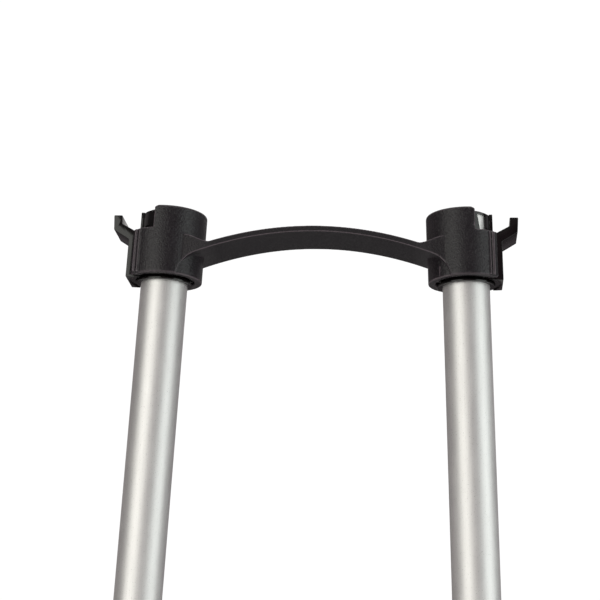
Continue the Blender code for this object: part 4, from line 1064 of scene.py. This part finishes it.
def rail_mesh():
    outer = prism(rail_section(0, RAIL_CORNER, 5), -RAIL_LENGTH / 2, RAIL_LENGTH / 2, OUTLINE_YZ)
    outer = bevelled(outer, 0.2 * MM, 2, 60)
    reach = RAIL_LENGTH / 2 + OVERSHOOT
    holes = [rod(SCREW_HOLE_RADIUS, RAIL_HEIGHT / 2, RAIL_HEIGHT + OVERSHOOT,
                 Matrix.Translation((x, y, 0)), 40) for x, y in screw_places()]
    hollow = prism(rail_section(RAIL_WALL, RAIL_CORNER / 2, 3), -reach, reach, OUTLINE_YZ)
    return cut(outer, hollow, *holes)


def screw_places():
    return [(side * PIVOT_OFFSET + x, y) for side in SIDES.values()
            for x in (-SCREW_SPREAD_X, SCREW_SPREAD_X) for y in (-SCREW_SPREAD_Y, SCREW_SPREAD_Y)]


def screw_mesh(x, y, number):
    """Button head with a hexagon recess over a threaded shank."""
    seat = RAIL_HEIGHT + GAP + BRACKET_PLATE + GAP
    place = Matrix.Translation((x, y, seat)) @ Matrix.Rotation(0.7 * number, 4, "Z")
    flat, rim = SCREW_FLAT_RADIUS, SCREW_RIM
    edge = 0.2 * MM
    dome = [(0, 0), (SCREW_HEAD_RADIUS - edge, 0), (SCREW_HEAD_RADIUS, edge), (SCREW_HEAD_RADIUS, rim)]
    for i in range(1, 8):
        turn = math.pi / 2 * i / 8
        dome.append((flat + (SCREW_HEAD_RADIUS - flat) * math.cos(turn),
                     rim + (SCREW_HEAD - rim) * math.sin(turn)))
    dome += [(flat, SCREW_HEAD), (0, SCREW_HEAD)]
    head = turned(dome, MEDIUM, place)
    head = cut(head, prism(circle(2.3 * MM, 6), 1.2 * MM, SCREW_HEAD + OVERSHOOT, place))
    return join(head, threaded(SCREW_RADIUS, -SCREW_LENGTH, rim, SCREW_PITCH, place))


def cap_mesh(side):
    """End cap whose outer face is crowned at its edges, over a hollow spigot."""
    start = RAIL_LENGTH / 2 + GAP
    half_y = RAIL_DEPTH / 2
    inset = RAIL_WALL + GAP
    hollow = inset + CAP_WALL
    plate = prism(rail_section(0, RAIL_CORNER, 5), *span(side, start, start + CAP_THICKNESS), OUTLINE_YZ)
    spigot = side_box(side, (start - SPIGOT_LENGTH, -half_y + inset, inset),
                      (start + OVERSHOOT, half_y - inset, RAIL_HEIGHT - inset))
    cap = join(bevelled(plate, 0.7 * MM, 4, 60), bevelled(spigot, 0.5 * MM, 2))
    pocket = side_box(side, (start - SPIGOT_LENGTH - OVERSHOOT, -half_y + hollow, hollow),
                      (start, half_y - hollow, RAIL_HEIGHT - hollow))
    return cut(cap, pocket)


def add_for(name, kind, mesh, slot, body, node, angle=None, finish=None):
    """add_piece for the left or right one of a pair."""
    return add_piece(f"fine_{kind}_{name}", mesh, slot, body, f"{node}_{name}", angle, finish)


def make_top(name, side):
    leg = leg_matrix(side)
    add_for(name, "tube", tube_mesh(side, leg), TUBE_ALUMINIUM, "frame", "tube", 30)
    add_for(name, "plug", plug_mesh(leg), GLOSS_BLACK, "frame", "tube_plug", 30)
    add_for(name, "bush", bush_mesh(side, leg), GLOSS_BLACK, "frame", "liner_bush", 38)
    add_for(name, "latch", latch_mesh(side, leg), GLOSS_BLACK, "latch_" + name, "latch", 38)
    spring = add_for(name, "spring", spring_mesh(side, leg), STEEL, "frame", "latch_spring", 50)
    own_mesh(spring)
    for place_name, hand in (("front", 1), ("back", -1)):
        pin = rod(PIN_RADIUS, *span(hand, PIN_START, PIN_END), latch_pin_axis(side, leg), 40, edge=0.3 * MM)
        node = f"latch_pin_{name}_{place_name}"
        add_piece("fine_" + node, pin, STEEL, "frame", node, 30)


def make_bottom(name, side):
    leg, pivot = leg_matrix(side), pivot_matrix(side)
    out = outward(side, pivot)
    bolt_place = socket_bolt_axis(leg)
    knob = "knob_" + name
    add_for(name, "socket", socket_mesh(leg, pivot), MATTE_BLACK, "frame", "lower_socket")
    add_for(name, "socket_bolt", socket_bolt_mesh(bolt_place), STEEL, "frame", "socket_bolt", 30)
    add_for(name, "socket_nut", socket_nut_mesh(bolt_place), STEEL, "frame", "socket_nut", 30)
    bush = ring_mesh(HINGE_BUSH_BORE, HINGE_BUSH_RADIUS, -KNUCKLE_HALF_WIDTH, KNUCKLE_HALF_WIDTH,
                     out, 0.3 * MM)
    add_for(name, "hinge_bush", bush, NYLON, "frame", "hinge_bush", 30)
    add_for(name, "bracket", bracket_mesh(pivot), POWDER_COAT, "base", "hinge_bracket", 30)
    add_for(name, "stop_pin", stop_pin_mesh(pivot), STEEL, "base", "stop_pin", 30)
    add_for(name, "clamp_bolt", clamp_bolt_mesh(out), STEEL, "base", "clamp_bolt", 30)
    washer = ring_mesh(CLAMP_BOLT_RADIUS + GAP, WASHER_RADIUS, EAR_OUTER + GAP,
                       EAR_OUTER + GAP + WASHER_THICKNESS, out, 0.25 * MM)
    add_for(name, "washer", washer, STEEL, "base", "clamp_washer", 30)
    disc_start = KNUCKLE_HALF_WIDTH + GAP
    for place_name, hand in (("inner", -1), ("outer", 1)):
        ends = span(hand, disc_start, disc_start + DISC_THICKNESS)
        disc = ring_mesh(CLAMP_BOLT_RADIUS + GAP, DISC_RADIUS, *ends, out, 0.2 * MM)
        node = f"friction_disc_{name}_{place_name}"
        add_piece("fine_" + node, disc, NYLON, "base", node, 30)
    add_for(name, "insert", insert_mesh(out), BRASS, knob, "knob_insert", 30)
    add_for(name, "knob", knob_mesh(out, side), MATTE_BLACK, knob, "clamp_knob", 38, PLAIN_BLACK)
    add_for(name, "cap", cap_mesh(side), MATTE_BLACK, "base", "rail_cap", 38, PLAIN_BLACK)


def make_object():
    add_piece("fine_yoke", yoke_mesh(), MATTE_BLACK, "frame", "yoke")
    for name, side in SIDES.items():
        make_top(name, side)
        make_bottom(name, side)
    add_piece("fine_rail", rail_mesh(), RAIL_ALUMINIUM, "base", "end_rail", 30)
    for number, (x, y) in enumerate(screw_places(), 1):
        node = f"bracket_screw_{number}"
        add_piece("fine_" + node, screw_mesh(x, y, number), STEEL, "base", node, 30)


# Floor, light and camera

FLOOR_RADIUS = 1.5
FLOOR_DROP = 0.05 * MM
BACKDROP_STRENGTH = 1.04
SOFTBOX_TARGET = Vector((0, 0, 0.50))
SOFTBOXES = [
    # name, azimuth, elevation, distance, width, height, power, color
    ("key_softbox", -36, 5, 1.8, 1.6, 1.7, 15.2, (0.985, 0.995, 0.93)),
    ("right_softbox", 67, 5, 1.8, 1.6, 1.7, 13.2, (0.93, 1.0, 0.97)),
    ("front_fill", 8, 5, 1.8, 0.7, 1.7, 0.3, (1.0, 0.55, 0.66)),
    ("left_rim", -125, 10, 2.0, 1.5, 1.7, 0.9, (1.0, 0.92, 0.90)),
    ("right_rim", 128, 10, 2.0, 1.5, 1.7, 1.0, (0.98, 0.98, 1.0)),
    ("top_softbox", 0, 85, 1.6, 1.6, 1.6, 5, (1.0, 1.0, 1.0)),
    ("back_softbox", 175, 35, 2.2, 1.6, 1.4, 4, (1.0, 0.98, 0.96)),
]
CAMERA_PLACE = Vector((0.08484, -1.26984, 0.25665))
CAMERA_YAW, CAMERA_PITCH, CAMERA_ROLL = 0.0742, 0.2547, -0.0275
CAMERA_LENS = 115.93


def make_stage():
    bm = bmesh.new()
    bmesh.ops.create_circle(bm, cap_ends=True, segments=128, radius=FLOOR_RADIUS)
    floor = bpy.data.objects.new("floor", as_mesh(bm))
    floor.location.z = CAD_BOX[0].z - FLOOR_DROP
    material, tree, shader = new_material("pale_floor", (0.86, 0.86, 0.855), 0.75, 0.0)
    cloud = noise(tree, coordinates(tree), 3.0, 4.0)
    tone = ramp(tree, cloud, [(0.3, (0.84, 0.84, 0.835)), (0.7, (0.87, 0.87, 0.865))])
    tree.links.new(tone, shader.inputs["Base Color"])
    floor.data.materials.append(material)
    bpy.context.scene.collection.objects.link(floor)


def make_world():
    """White behind the object, and a dimmer even light on it."""
    world = bpy.data.worlds.new("studio")
    bpy.context.scene.world = world
    world.use_nodes = True
    tree = world.node_tree
    tree.nodes.clear()
    height = add_node(tree, "SeparateXYZ", Vector=add_node(tree, "TexCoord").outputs["Generated"])
    sky = ramp(tree, height.outputs["Z"], [(0.30, (0.085, 0.075, 0.079)), (0.70, (0.34, 0.33, 0.33))])
    lighting = add_node(tree, "Background", Color=sky)
    backdrop = add_node(tree, "Background", Color=(1, 1, 1, 1), Strength=BACKDROP_STRENGTH)
    mix = add_node(tree, "MixShader", Fac=add_node(tree, "LightPath").outputs["Is Camera Ray"])
    tree.links.new(lighting.outputs["Background"], mix.inputs[1])
    tree.links.new(backdrop.outputs["Background"], mix.inputs[2])
    add_node(tree, "OutputWorld", Surface=mix.outputs["Shader"])


def add_softbox(name, azimuth, elevation, distance, width, height, power, color):
    """An area light that faces the yoke. Azimuth 0 is in front, and grows towards +X."""
    a, e = math.radians(azimuth), math.radians(elevation)
    direction = Vector((math.sin(a) * math.cos(e), -math.cos(a) * math.cos(e), math.sin(e)))
    light = bpy.data.lights.new(name, "AREA")
    light.shape = "RECTANGLE"
    light.size = width
    light.size_y = height
    light.energy = power
    light.color = color
    lamp = bpy.data.objects.new(name, light)
    lamp.location = SOFTBOX_TARGET + direction * distance
    lamp.rotation_euler = (-direction).to_track_quat("-Z", "Y").to_euler()
    bpy.context.scene.collection.objects.link(lamp)


def make_camera():
    """Low in front, looking up at the yoke."""
    turn = (Matrix.Rotation(CAMERA_YAW, 3, "Z") @ Matrix.Rotation(CAMERA_PITCH, 3, "X")
            @ Matrix.Rotation(CAMERA_ROLL, 3, "Y"))
    right, forward, up = turn.col
    axes = Matrix((right, up, -forward)).transposed()
    data = bpy.data.cameras.new("camera")
    data.sensor_width = 36.0
    data.lens = CAMERA_LENS
    camera = bpy.data.objects.new("camera", data)
    camera.matrix_world = Matrix.Translation(CAMERA_PLACE) @ axes.to_4x4()
    bpy.context.scene.collection.objects.link(camera)
    bpy.context.scene.camera = camera


make_camera()
make_object()
make_stage()
make_world()
for softbox in SOFTBOXES:
    add_softbox(*softbox)
bpy.context.scene.view_settings.view_transform = "Standard"
